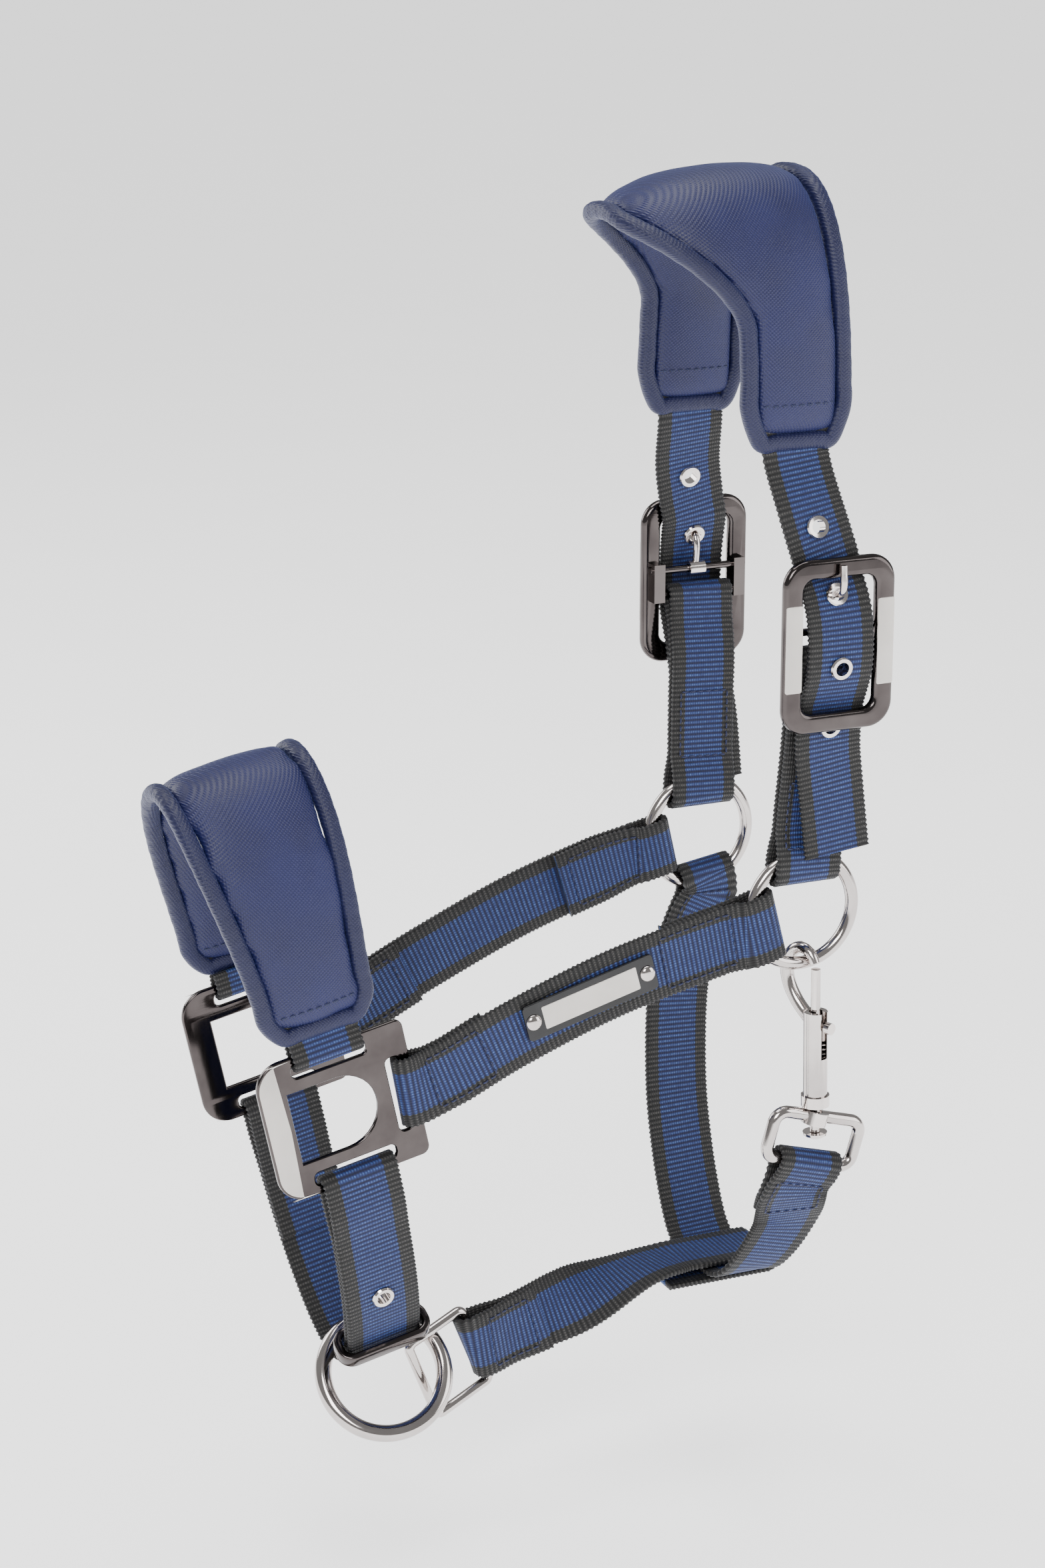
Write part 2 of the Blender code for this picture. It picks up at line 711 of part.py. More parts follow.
LINK_BAR = Vector((-111.0, -10.0, -158.5))
LINK_UP = Vector((-0.36, 0.0, 0.933)).normalized()
LINK_TOWARD = Vector((-0.92, -0.17, -0.355)).normalized()
LINK_WIRE = 1.9
LINK_HALF = 15.4
LINK_LENGTH = 24.0
CONNECT_LINE = ((-104.0, -9.4, -157.4), (-88.0, -8.0, -154.5), (-66.0, -5.5, -149.5),
                (-44.0, -2.5, -145.0), (-30.0, 0.0, -144.6))


def connecting_web():
    """From the link's rear bar, through a quarter twist, to its loop round the throat strap."""
    rear = Vector((-8.0 + WEB_WIDTH / 2 + 0.6, 0.0, -146.0 - PAIR))
    above = rear + Z_AXIS * CONNECT_FOLD
    line = smooth([LINK_BAR, *CONNECT_LINE, Vector((-22.0, 0.0, above.z)), above], 4.0)
    along = tangents(line)
    run = lengths(line)
    total = run[-1]
    link_fold = LINK_WIRE + GAP + WEB_THICK / 2 + 0.1
    spots = []
    for point, direction, here in zip(line, along, run):
        side = LINK_UP.lerp(Y_AXIS, ease((here - 8) / (total - 44)))
        side = (side - direction * side.dot(direction)).normalized()
        spots.append((point, side.cross(direction).normalized(), side, here))

    def offset(here):
        return link_fold * ease(1 - (here - 3) / 12) + PAIR * ease((here - 3) / 12) * ease((44 - here) / 10)

    main = [(p + o * offset(r), s) for p, o, s, r in spots[1:]]
    tail = [(p - o * offset(r), s) for p, o, s, r in spots[1:] if r < 30]
    first = [(p, LINK_UP) for p in fold(LINK_BAR, along[0], spots[0][1], link_fold)]
    last = [(p, Y_AXIS) for p in fold(rear, -X_AXIS, Z_AXIS, CONNECT_FOLD)]
    below = rear - Z_AXIS * CONNECT_FOLD
    foot = [(below - X_AXIS * 4.0 * i, Y_AXIS) for i in range(1, 11)]
    whole = tail[::-1] + first + main[:-1] + last[::-1] + foot
    ribbon("connecting_strap", "webbing", [p for p, _ in whole], [s for _, s in whole])


# ---------------------------------------------------------------- metal

def rounded_outline(corners, steps=4):
    """A closed outline with round corners: corners hold (u, v, radius), counter-clockwise."""
    found = []
    for i, (u, v, radius) in enumerate(corners):
        here = Vector((u, v))
        back = (Vector(corners[i - 1][:2]) - here).normalized()
        ahead = (Vector(corners[(i + 1) % len(corners)][:2]) - here).normalized()
        half = back.angle(ahead) / 2
        middle = here + (back + ahead).normalized() * (radius / math.sin(half))
        start = here + back * (radius / math.tan(half)) - middle
        finish = here + ahead * (radius / math.tan(half)) - middle
        sweep = start.angle_signed(finish)
        for k in range(steps + 1):
            turn = Matrix.Rotation(-sweep * k / steps, 2)
            found.append(tuple(middle + turn @ start))
    return found


def rectangle(half_u, half_v, radius, u=0.0, v=0.0):
    return rounded_outline([(u - half_u, v - half_v, radius), (u + half_u, v - half_v, radius),
                            (u + half_u, v + half_v, radius), (u - half_u, v + half_v, radius)])


def plate_outlines():
    """The side plate's rim, its three slots and its window, round towards the tail."""
    half_u, half_v = PLATE_HALF
    rim = rounded_outline([(-half_u, -half_v, 9.5), (half_u, -half_v, 3.0),
                           (half_u, half_v, 3.0), (-half_u, half_v, 9.5)])
    long_side, short_side = SLOT_HALF_LENGTH, SLOT_HALF_WIDTH
    slots = [rectangle(long_side, short_side, 2.0, -0.5, SLOT_V),
             rectangle(long_side + 1.3, short_side, 2.0, CHIN_U, -SLOT_V),
             rectangle(short_side, long_side, 2.0, SLOT_U, -0.8)]
    left, middle, half = WINDOW
    arc = [math.radians(-90 + 12 * i) for i in range(16)]
    window = [(left, half), (left, -half)]
    window += [(middle + half * math.cos(a), half * math.sin(a)) for a in arc]
    return [rim, *slots, window]


def side_plate(label, side):
    up = Vector((0.0, side, 0.0))
    matrix = basis(FACE_U, up.cross(FACE_U), up, face_point(0, 0, side * PLATE_OUT))
    mirrored = [[(u, v * -side) for u, v in outline] for outline in plate_outlines()]
    outlines = [o if side < 0 else o[::-1] for o in mirrored]
    place(flat_part(f"{label}_side_plate", outlines, PLATE_THICK, 0.35, matrix),
          f"{label}_side_plate", "gunmetal")


def buckle(label, side):
    """A domed frame, the chape's bar, the tongue's pin and the tongue."""
    up = Vector((0.0, side, 0.0))
    matrix = basis(X_AXIS, up.cross(X_AXIS), up, (BUCKLE_X, side * BUCKLE_OUT, BUCKLE_MID))
    outlines = [rectangle(BUCKLE_HALF_WIDTH, BUCKLE_HALF_HEIGHT, 9.0), rectangle(*BUCKLE_OPENING, 4.0)]
    name = f"{label}_buckle_frame"
    frame = flat_part(name, outlines, 4.0, 1.1, matrix)
    place(frame, name, "gunmetal")
    lug_low, lug_high = CHAPE_BAR[0] - BUCKLE_MID - 2.6, TONGUE_BAR[0] - BUCKLE_MID + 2.6
    for end in (-1, 1):
        inner, outer = BUCKLE_OPENING[0] + 0.1, BUCKLE_OPENING[0] + 4.4
        spans = sorted((end * inner, end * outer))
        heights = sorted((-side * lug_low, -side * lug_high))
        lug = box(f"{name}_lug_{end + 1}", matrix, (spans[0], heights[0], -5.6), (spans[1], heights[1], 0.0))
        boolean(frame, lug, "UNION")
    ends = [Vector((BUCKLE_X + s * (BUCKLE_OPENING[0] + 2.0), side * CHAPE_BAR[1], CHAPE_BAR[0]))
            for s in (-1, 1)]
    boolean(frame, cylinder(f"{name}_bar", *ends, BAR_RADIUS, 16), "UNION")
    ends = [Vector((BUCKLE_X + s * 30.0, side * TONGUE_BAR[1], TONGUE_BAR[0])) for s in (-1, 1)]
    boolean(frame, cylinder(f"{name}_pin_hole", *ends, BAR_RADIUS + 0.25, 16), "DIFFERENCE")
    reach = BUCKLE_OPENING[0] + 5.2
    ends = [Vector((BUCKLE_X + s * reach, side * TONGUE_BAR[1], TONGUE_BAR[0])) for s in (-1, 1)]
    pin_name = f"{label}_tongue_pin"
    place(cylinder(pin_name, *ends, BAR_RADIUS, 16), pin_name, "gunmetal")
    tongue(label, side)


TONGUE_LINE = ((104.2, 50.4), (108.4, 50.2), (111.4, 51.0), (112.8, 53.2), (113.6, 56.2), (115.8, 58.4),
               (119.0, 58.6), (123.6, 58.3))
TONGUE_X = 2.9


def tongue(label, side):
    """A barrel round the pin with a wire that comes out through the eyelet and lies over the top bar."""
    name = f"{label}_tongue"
    centre = Vector((TONGUE_X, side * TONGUE_BAR[1], TONGUE_BAR[0]))
    half = X_AXIS * 3.0
    barrel = place(cylinder(name, centre - half, centre + half, 2.8, 20), name, "chrome")
    points = [Vector((TONGUE_X, side * out, z)) for z, out in TONGUE_LINE]
    points = smooth([Vector((TONGUE_X, side * 50.7, 102.4)), *points], 1.4)
    radii = [1.0 if i < len(points) - 3 else 0.9 for i in range(len(points))]
    boolean(barrel, wire(name + "_wire", points, 1.3, radii=radii, turns=2), "UNION")
    boolean(barrel, cylinder(name + "_bore", centre - half * 2, centre + half * 2, BAR_RADIUS + 0.25, 20),
            "DIFFERENCE")
    pivot(name + "_pivot", centre, [barrel])


def rings():
    torus("near_ring", "chrome", NEAR_RING, Y_AXIS, RING_RADIUS, RING_WIRE)
    torus("far_ring", "chrome", FAR_RING, Y_AXIS, RING_RADIUS, RING_WIRE)
    lead_top = face_point(CHIN_U, -BAR_V - CHIN_DROP + WEB_THICK / 2 + 5.5 + LEAD_WIRE, 2.5)
    down = -FACE_V * math.cos(LEAD_TILT) - Y_AXIS * math.sin(LEAD_TILT)
    lead = torus("lead_ring", "chrome", lead_top + down * LEAD_RADIUS, FACE_U.cross(down),
                 LEAD_RADIUS, LEAD_WIRE)
    pivot("lead_ring_pivot", lead_top, [lead])


def link():
    """The wire rectangle that joins the lead ring to the connecting strap."""
    corners = []
    middle = LINK_TOWARD * LINK_LENGTH / 2
    for along, up in rectangle(LINK_LENGTH / 2, LINK_HALF, 2.4):
        corners.append(LINK_BAR + middle + LINK_TOWARD * along + LINK_UP * up)
    obj = place(wire("link_loop", corners, LINK_WIRE, closed=True, turns=3), "link_loop", "chrome")
    pivot("link_loop_pivot", LINK_BAR, [obj])


def keeper():
    """The flat oval band that holds the chin strap's tail down."""
    here = math.radians(KEEPER_ANGLE)
    along = (chin_ref(here - 0.01) - chin_ref(here + 0.01)).normalized()
    matrix = basis(FACE_U, along.cross(FACE_U), along, chin_ref(here))
    outlines = [rectangle(17.4, 6.6, 5.6), rectangle(14.6, 4.0, 3.0)]
    place(flat_part("chin_keeper", outlines, 6.0, 0.8, matrix), "chin_keeper", "gunmetal")


NAMEPLATE = ((-82.0, -21.6), 25.0, 6.6)


def nameplate():
    """A small plate on the near cheek strap, with a rivet at each end."""
    (x, z), half_length, half_height = NAMEPLATE
    slope = math.radians(15.0)
    along = Vector((math.cos(slope), 0.0, math.sin(slope)))
    surface = PLATE_OUT + 1.2 + PAIR + WEB_THICK / 2 + GAP
    matrix = basis(along, (-Y_AXIS).cross(along), -Y_AXIS, (x, -surface - 0.6, z))
    place(flat_part("nameplate", [rectangle(half_length, half_height, 1.6)], 1.2, 0.25, matrix),
          "nameplate", "black_plate")
    head = [(0.0, 1.4), (1.8, 1.1), (2.7, 0.55), (2.9, 0.0), (0.0, 0.0)]
    for label, offset in (("front", -22.0), ("rear", 22.0)):
        spot = Vector((x, -surface - 1.2 - 0.15, z)) + along * offset
        turned(f"nameplate_{label}_rivet", "chrome", head,
               basis(along, (-Y_AXIS).cross(along), -Y_AXIS, spot), 16)


# ---------------------------------------------------------------- snap

def eye_point(along, up):
    """A point on the snap eye's middle rectangle."""
    cos, sin = math.cos(EYE_ROLL), math.sin(EYE_ROLL)
    return EYE_CENTRE + Vector((along * cos + up * sin, 0.0, -along * sin + up * cos))


def snap_point(side, height):
    """A point in the hook's plane: side is away from the snap's axis towards the hook's back."""
    lean = (height + 75.0) * -0.02
    return Vector((SNAP_AXIS_X + lean, SNAP_AXIS_Y, height)) + HOOK_DIRECTION * side


HOOK_LINE = ((0.6, -43.5), (4.2, -40.6), (8.4, -36.8), (12.0, -31.5), (13.3, -25.5), (11.4, -19.5),
             (7.0, -16.4), (2.6, -17.6), (0.4, -21.0))
BARREL = (-70.0, -38.5, 4.3)
COLLAR = (-73.6, -70.2, 5.1)


def snap():
    """The hook with its hollow barrel, the plunger and spring in it, and the swivel rivet."""
    corners = [eye_point(a, u) for a, u in rectangle(*EYE_HALF, 4.5)]
    eye = place(wire("snap_eye", corners, EYE_WIRE, closed=True), "snap_eye", "chrome")
    top = eye_point(0.0, EYE_HALF[1])
    up = (eye_point(0.0, 10.0) - eye_point(0.0, 0.0)).normalized()
    swivel = snap_point(0.0, top.z)
    boolean(eye, cylinder("snap_eye_boss", swivel - up * 2.4, swivel + up * 2.4, 4.6, 24), "UNION")
    axis = (snap_point(0, -40) - snap_point(0, -70)).normalized()
    boolean(eye, cylinder("snap_eye_hole", swivel - axis * 8, swivel + axis * 8, 2.6), "DIFFERENCE")

    body = place(cylinder("snap_body", snap_point(0, BARREL[0]), snap_point(0, BARREL[1]), BARREL[2], 24),
                 "snap_body", "chrome")
    boolean(body, cylinder("snap_collar", snap_point(0, COLLAR[0]), snap_point(0, COLLAR[1] + 0.6),
                           COLLAR[2], 24), "UNION")
    boolean(body, cylinder("snap_stem", snap_point(0, COLLAR[0] - 9.8), snap_point(0, COLLAR[0] + 2),
                           1.8, 16), "UNION")
    line = smooth([snap_point(*p) for p in HOOK_LINE], 2.0)
    radii = [1.0 - 0.28 * ease((i / len(line) - 0.55) / 0.45) for i in range(len(line))]
    boolean(body, wire("snap_hook", line, 2.6, radii=radii, turns=3), "UNION")
    boolean(body, cylinder("snap_bore", snap_point(0, -62), snap_point(0, -22.4), 2.4), "DIFFERENCE")
    knob_side = -HOOK_DIRECTION
    slot_axes = basis(knob_side, axis.cross(knob_side), axis, snap_point(0, -48.5))
    slot = box("snap_slot", slot_axes, (0.0, -1.5, -7.0), (8.0, 1.5, 11.5))
    boolean(body, slot, "DIFFERENCE")

    plunger = place(cylinder("snap_plunger", snap_point(0, -50), snap_point(0, -22.9), 1.7, 16),
                    "snap_plunger", "chrome")
    base = snap_point(0, -43.4)
    boolean(plunger, cylinder("snap_knob_stem", base, base + knob_side * 6.2, 1.1, 12), "UNION")
    boolean(plunger, cylinder("snap_knob", base + knob_side * 5.2, base + knob_side * 7.4, 2.1, 16),
            "UNION")
    coil = []
    for i in range(61):
        turn = 2 * math.pi * i / 10
        round_axis = HOOK_DIRECTION * math.cos(turn) + axis.cross(HOOK_DIRECTION) * math.sin(turn)
        coil.append(snap_point(0, -60.9 + i / 60 * 10.2) + round_axis * 1.65)
    place(wire("snap_spring", coil, 0.3, turns=0), "snap_spring", "spring_steel")

    foot = snap_point(0, COLLAR[0] - 9.8)
    head = [(0.0, -2.2), (2.6, -2.0), (4.2, -1.0), (4.4, 0.0), (0.0, 0.0)]
    rivet = turned("snap_rivet", "chrome", head, facing(axis, foot - axis * 0.3), 20)
    pivot("snap_swivel_pivot", swivel, [body, rivet, plunger])


def main():
    clear_scene()
    pads()
    crown_web()
    nose_web()
    chin_web()
    throat_web()
    connecting_web()
    for label, side, ring in (("near", -1, NEAR_RING), ("far", 1, FAR_RING)):
        buckle(label, side)
        chape(label, side, ring)
        cheek(label, side, ring)
        side_plate(label, side)
    rings()
    link()
    keeper()
    nameplate()
    snap()


main()
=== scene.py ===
"""The looks of a horse's headcollar: ribbed webbing, two stuffed sleeves and polished fittings.

Lengths are in millimetres above the near ring's level, as in the part's own source, and become
metres where a mesh is made. The nose points along -X, the near side is -Y and +Z is up.
"""

import json
import math

import bmesh
import bpy
import numpy as np
from mathutils import Matrix, Vector
from mathutils.bvhtree import BVHTree

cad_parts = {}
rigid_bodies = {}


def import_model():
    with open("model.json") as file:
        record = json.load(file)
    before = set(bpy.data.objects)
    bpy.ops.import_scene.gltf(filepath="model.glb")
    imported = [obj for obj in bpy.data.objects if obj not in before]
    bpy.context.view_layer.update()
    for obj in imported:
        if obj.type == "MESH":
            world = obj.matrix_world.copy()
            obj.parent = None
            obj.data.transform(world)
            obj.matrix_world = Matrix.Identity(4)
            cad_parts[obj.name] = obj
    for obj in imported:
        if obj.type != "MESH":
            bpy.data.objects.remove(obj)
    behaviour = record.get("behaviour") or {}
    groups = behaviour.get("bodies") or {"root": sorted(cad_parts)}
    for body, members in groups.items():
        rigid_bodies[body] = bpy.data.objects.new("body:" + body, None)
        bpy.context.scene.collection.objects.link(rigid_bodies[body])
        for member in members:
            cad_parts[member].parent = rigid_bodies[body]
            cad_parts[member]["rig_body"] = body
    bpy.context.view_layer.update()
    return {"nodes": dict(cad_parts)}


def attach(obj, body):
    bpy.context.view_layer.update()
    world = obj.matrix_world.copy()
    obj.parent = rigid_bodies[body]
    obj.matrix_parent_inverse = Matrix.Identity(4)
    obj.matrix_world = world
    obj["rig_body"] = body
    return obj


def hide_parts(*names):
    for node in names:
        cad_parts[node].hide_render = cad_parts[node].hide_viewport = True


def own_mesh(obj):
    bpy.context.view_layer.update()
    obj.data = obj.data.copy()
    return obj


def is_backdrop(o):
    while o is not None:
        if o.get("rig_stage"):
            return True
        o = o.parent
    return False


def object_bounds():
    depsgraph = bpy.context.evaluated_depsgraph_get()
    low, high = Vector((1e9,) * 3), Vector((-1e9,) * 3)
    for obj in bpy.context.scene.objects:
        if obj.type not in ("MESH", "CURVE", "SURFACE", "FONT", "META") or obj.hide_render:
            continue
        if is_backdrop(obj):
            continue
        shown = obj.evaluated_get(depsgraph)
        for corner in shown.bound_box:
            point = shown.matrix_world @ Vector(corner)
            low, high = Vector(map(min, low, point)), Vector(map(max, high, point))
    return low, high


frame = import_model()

SCENE = bpy.context.scene
PIECES = []                         # (object, name, look, body, sharp angle), settled at the end
WEBS = {}                           # each web's rows: centres, sides, ups and widths

RIB_PITCH = 1.75                    # the weave's cross ribs
RIB_STEPS = 4                       # rows of the mesh to each rib
RIB_DEPTH = 0.2
SCALLOP = 0.28                      # how far a rib's ends stand out of the selvedge
ROW_STEP = 0.4                      # the longest step along a web before it is resampled
WARP_THREADS = 27                   # threads across a web
SELVEDGE = 0.305                    # from a web's middle to its dark edge, as a share of its width

STITCH_PITCH = 3.0
STITCH_LENGTH = 2.1
STITCH_RADIUS = 0.34
STITCH_SINK = 0.12                  # how deep a stitch's ends lie in the cloth

VOXEL = 4.0
PRESSURE = 4.0
LAST_FRAME = 20
MOST_SWELL = 3.2
SKIN_SIDES = 28
SKIN_RINGS = 40
HELD_EDGE = (1.0, 5.0)              # the sewn edge's width, then the run over which it lets go
HELD_RINGS = 2.0
BINDING = (3.1, 3.1)                # half width and half thickness of the rolled edge
BINDING_SIDES = 16
SKIN_INSET = 0.9 * BINDING[0]

MM = 0.001
POLL_HEIGHT = 242.75
WEB_WIDTH = 25.0
WEB_THICK = 2.2
CHIN_WIDTH = 27.0
GAP = 0.3
PAIR = WEB_THICK / 2 + GAP          # half the pitch of two webs that lie on each other
PLATE_FOLD = 3.2                    # radius of a web's middle where it turns round a plate's bar
RING_RADIUS = 19.7
RING_WIRE = 2.3
RING_FOLD = RING_WIRE + GAP + WEB_THICK / 2 + 0.25
RING_CHORD = 14.8                   # the ring's depth at the edges of a web that hangs on it
PINCHED_WIDTH = 21.0                # a web gathered in beside its neighbour on the far ring
PINCHED_CHORD = 16.3
NEAR_RING = Vector((0.0, -40.0, -2.0))
FAR_RING = Vector((0.0, 40.0, 4.0))
BUCKLE_HALF_WIDTH = 21.0
BUCKLE_HALF_HEIGHT = 30.0
BUCKLE_OPENING = (13.8, 23.2)
BUCKLE_MID = 95.6
BUCKLE_OUT = 54.0                   # the frame's middle, measured out from the centre plane
BUCKLE_X = 3.5
CHAPE_BAR = (91.3, 50.1)            # height, distance out
TONGUE_BAR = (100.1, 50.9)
BAR_RADIUS = 1.3
FACE_TILT = math.radians(12.0)      # the nose part leans forward by this
FACE_CENTRE = Vector((-171.0, 0.0, -50.4))
PLATE_OUT = 38.0
PLATE_HALF = (27.0, 25.3)
PLATE_THICK = 2.0
SLOT_V = 20.0
SLOT_U = 20.5
SLOT_HALF_WIDTH = 2.4
SLOT_HALF_LENGTH = 13.6
BAR_V = 24.0                        # middle of a fold round the top or bottom bar
BAR_U = 24.2
WINDOW = (-17.2, -0.2, 13.0)        # straight side, centre of the round end, half height
NOSE_BASE_V = 33.0
NOSE_RISE = 80.0
CROWN_BASE = 163.0
CROWN_RISE = 84.0
CROWN_OUT = 39.0
CHIN_DROP = 84.0
CHIN_U = 0.5
LEAD_RADIUS = 21.5
LEAD_WIRE = 3.0
LEAD_TILT = math.radians(42.0)
EYELET_HOLE = 3.05
SNAP_AXIS_X = 4.4
SNAP_AXIS_Y = -45.2
HOOK_DIRECTION = Vector((-0.35, 0.937, 0.0)).normalized()
EYE_ROLL = math.radians(16.0)
EYE_CENTRE = Vector((4.0, -45.0, -86.6))
EYE_HALF = (17.6, 8.6)
EYE_WIRE = 2.3

# ---------------------------------------------------------------- looks

def node(tree, kind, **settings):
    made = tree.nodes.new(kind)
    for key, value in settings.items():
        setattr(made, key, value)
    return made


def math_node(tree, operation, a, b=None):
    """A Math node fed by sockets or numbers; returns its output socket."""
    made = node(tree, "ShaderNodeMath", operation=operation)
    for i, value in enumerate((a, b)):
        if value is None:
            continue
        if isinstance(value, bpy.types.NodeSocket):
            tree.links.new(value, made.inputs[i])
        else:
            made.inputs[i].default_value = value
    return made.outputs[0]


def from_zero(tree, wave):
    """A wave between -1 and 1, brought to 0 to 1."""
    return math_node(tree, "ADD", math_node(tree, "MULTIPLY", wave, 0.5), 0.5)


def weighted(tree, value, scale, offset):
    return math_node(tree, "ADD", math_node(tree, "MULTIPLY", value, scale), offset)


def ramp(tree, factor, stops):
    """A colour ramp: stops hold (position, colour)."""
    made = node(tree, "ShaderNodeValToRGB")
    elements = made.color_ramp.elements
    while len(elements) < len(stops):
        elements.new(0.5)
    for element, (position, colour) in zip(elements, stops):
        element.position = position
        element.color = (*colour, 1.0)
    tree.links.new(factor, made.inputs[0])
    return made.outputs[0]


def mix_colour(tree, factor, a, b):
    made = node(tree, "ShaderNodeMix", data_type="RGBA")
    for socket, value in ((made.inputs[0], factor), (made.inputs[6], a), (made.inputs[7], b)):
        if isinstance(value, bpy.types.NodeSocket):
            tree.links.new(value, socket)
        elif isinstance(value, tuple):
            socket.default_value = (*value, 1.0)
        else:
            socket.default_value = value
    return made.outputs[2]


def noise(tree, scale, detail=3.0, stretch=(1.0, 1.0, 1.0)):
    """A noise from 0 to 1 in the row frame, in metres."""
    place_in = node(tree, "ShaderNodeTexCoord")
    mapping = node(tree, "ShaderNodeMapping")
    mapping.inputs["Scale"].default_value = stretch
    made = node(tree, "ShaderNodeTexNoise")
    made.inputs["Scale"].default_value = scale
    made.inputs["Detail"].default_value = detail
    tree.links.new(place_in.outputs["Object"], mapping.inputs[0])
    tree.links.new(mapping.outputs[0], made.inputs["Vector"])
    return made.outputs["Fac"]


def stripes(tree, direction, pitch):
    """A sine from 0 to 1 along direction, in the row frame, that repeats every pitch metres."""
    place_in = node(tree, "ShaderNodeTexCoord")
    dot = node(tree, "ShaderNodeVectorMath", operation="DOT_PRODUCT")
    dot.inputs[1].default_value = Vector(direction).normalized() * (2 * math.pi / pitch)
    tree.links.new(place_in.outputs["Object"], dot.inputs[0])
    return from_zero(tree, math_node(tree, "SINE", dot.outputs["Value"]))


def bump(tree, height, depth, strength=1.0, normal=None):
    made = node(tree, "ShaderNodeBump")
    made.inputs["Strength"].default_value = strength
    made.inputs["Distance"].default_value = depth
    tree.links.new(height, made.inputs["Height"])
    if normal is not None:
        tree.links.new(normal, made.inputs["Normal"])
    return made.outputs[0]


def blank(name):
    made = bpy.data.materials.new(name)
    made.use_nodes = True
    return made, made.node_tree, made.node_tree.nodes["Principled BSDF"]


def webbing_look():
    """Ribbed polypropylene: a blue middle between charcoal selvedges, with lit thread crests."""
    made, tree, shader = blank("ribbed_webbing")
    uv = node(tree, "ShaderNodeUVMap", uv_map="weave")
    split = node(tree, "ShaderNodeSeparateXYZ")
    tree.links.new(uv.outputs[0], split.inputs[0])
    across, ribs = split.outputs[0], split.outputs[1]
    turns = math_node(tree, "MULTIPLY", ribs, 2 * math.pi)
    crest = from_zero(tree, math_node(tree, "COSINE", turns))
    threads = math_node(tree, "MULTIPLY", across, 2 * math.pi * WARP_THREADS)
    warp = from_zero(tree, math_node(tree, "SINE", threads))
    grain = noise(tree, 900.0, 4.0)
    patches = noise(tree, 60.0, 2.0)
    lit = math_node(tree, "MULTIPLY", crest, weighted(tree, warp, 0.45, 0.55))
    lit = math_node(tree, "MULTIPLY", lit, math_node(tree, "ADD", grain, 0.42))
    blue = ramp(tree, lit, [(0.0, (0.001, 0.002, 0.018)), (0.4, (0.005, 0.014, 0.085)),
                            (0.75, (0.014, 0.045, 0.19)), (1.0, (0.06, 0.15, 0.38))])
    dark = ramp(tree, lit, [(0.0, (0.001, 0.001, 0.001)), (0.6, (0.010, 0.009, 0.009)),
                            (1.0, (0.050, 0.047, 0.044))])
    blue = mix_colour(tree, math_node(tree, "MULTIPLY", patches, 0.35), blue, (0.006, 0.014, 0.09))
    off = math_node(tree, "ABSOLUTE", math_node(tree, "SUBTRACT", across, 0.5))
    wobble = math_node(tree, "MULTIPLY", math_node(tree, "SUBTRACT", grain, 0.5), 0.03)
    edge = math_node(tree, "GREATER_THAN", math_node(tree, "ADD", off, wobble), SELVEDGE)
    colour = mix_colour(tree, edge, blue, dark)
    tree.links.new(colour, shader.inputs["Base Color"])
    rough = math_node(tree, "SUBTRACT", 0.78, math_node(tree, "MULTIPLY", lit, 0.3))
    tree.links.new(rough, shader.inputs["Roughness"])
    shader.inputs["Sheen Weight"].default_value = 0.06
    shader.inputs["Sheen Roughness"].default_value = 0.4
    shader.inputs["Sheen Tint"].default_value = (0.5, 0.6, 0.9, 1.0)
    height = math_node(tree, "MULTIPLY", grain, 0.8)
    height = math_node(tree, "ADD", math_node(tree, "MULTIPLY", warp, 0.6), height)
    tree.links.new(bump(tree, height, 0.00022, 0.9), shader.inputs["Normal"])
    return made


def neoprene_look(name, middle, lit, rough):
    """Satin-faced neoprene: a fine diagonal knit with soft mottling."""
    made, tree, shader = blank(name)
    one = stripes(tree, (1.0, 0.35, 0.8), 0.00085)
    two = stripes(tree, (0.8, 0.3, -1.0), 0.00085)
    knit = math_node(tree, "MULTIPLY", one, two)
    mottle = noise(tree, 45.0, 4.0)
    fine = noise(tree, 1500.0, 2.0)
    level = math_node(tree, "MULTIPLY", knit, 0.35)
    level = math_node(tree, "ADD", math_node(tree, "MULTIPLY", mottle, 0.6), level)
    colour = ramp(tree, level, [(0.15, middle), (0.85, lit)])
    tree.links.new(colour, shader.inputs["Base Color"])
    tree.links.new(weighted(tree, mottle, 0.18, rough), shader.inputs["Roughness"])
    shader.inputs["Sheen Weight"].default_value = 0.16
    shader.inputs["Sheen Roughness"].default_value = 0.35
    shader.inputs["Sheen Tint"].default_value = (0.35, 0.45, 0.95, 1.0)
    first = bump(tree, math_node(tree, "ADD", knit, math_node(tree, "MULTIPLY", fine, 0.5)), 0.00016, 0.9)
    folds = bump(tree, noise(tree, 22.0, 2.0), 0.0012, 0.35, first)
    tree.links.new(folds, shader.inputs["Normal"])
    return made


def thread_look():
    made, tree, shader = blank("seam_thread")
    twist = stripes(tree, (1.0, 0.4, 1.0), 0.0005)
    colour = ramp(tree, twist, [(0.0, (0.003, 0.004, 0.02)), (1.0, (0.02, 0.03, 0.11))])
    tree.links.new(colour, shader.inputs["Base Color"])
    shader.inputs["Roughness"].default_value = 0.55
    tree.links.new(bump(tree, twist, 0.0001), shader.inputs["Normal"])
    return made


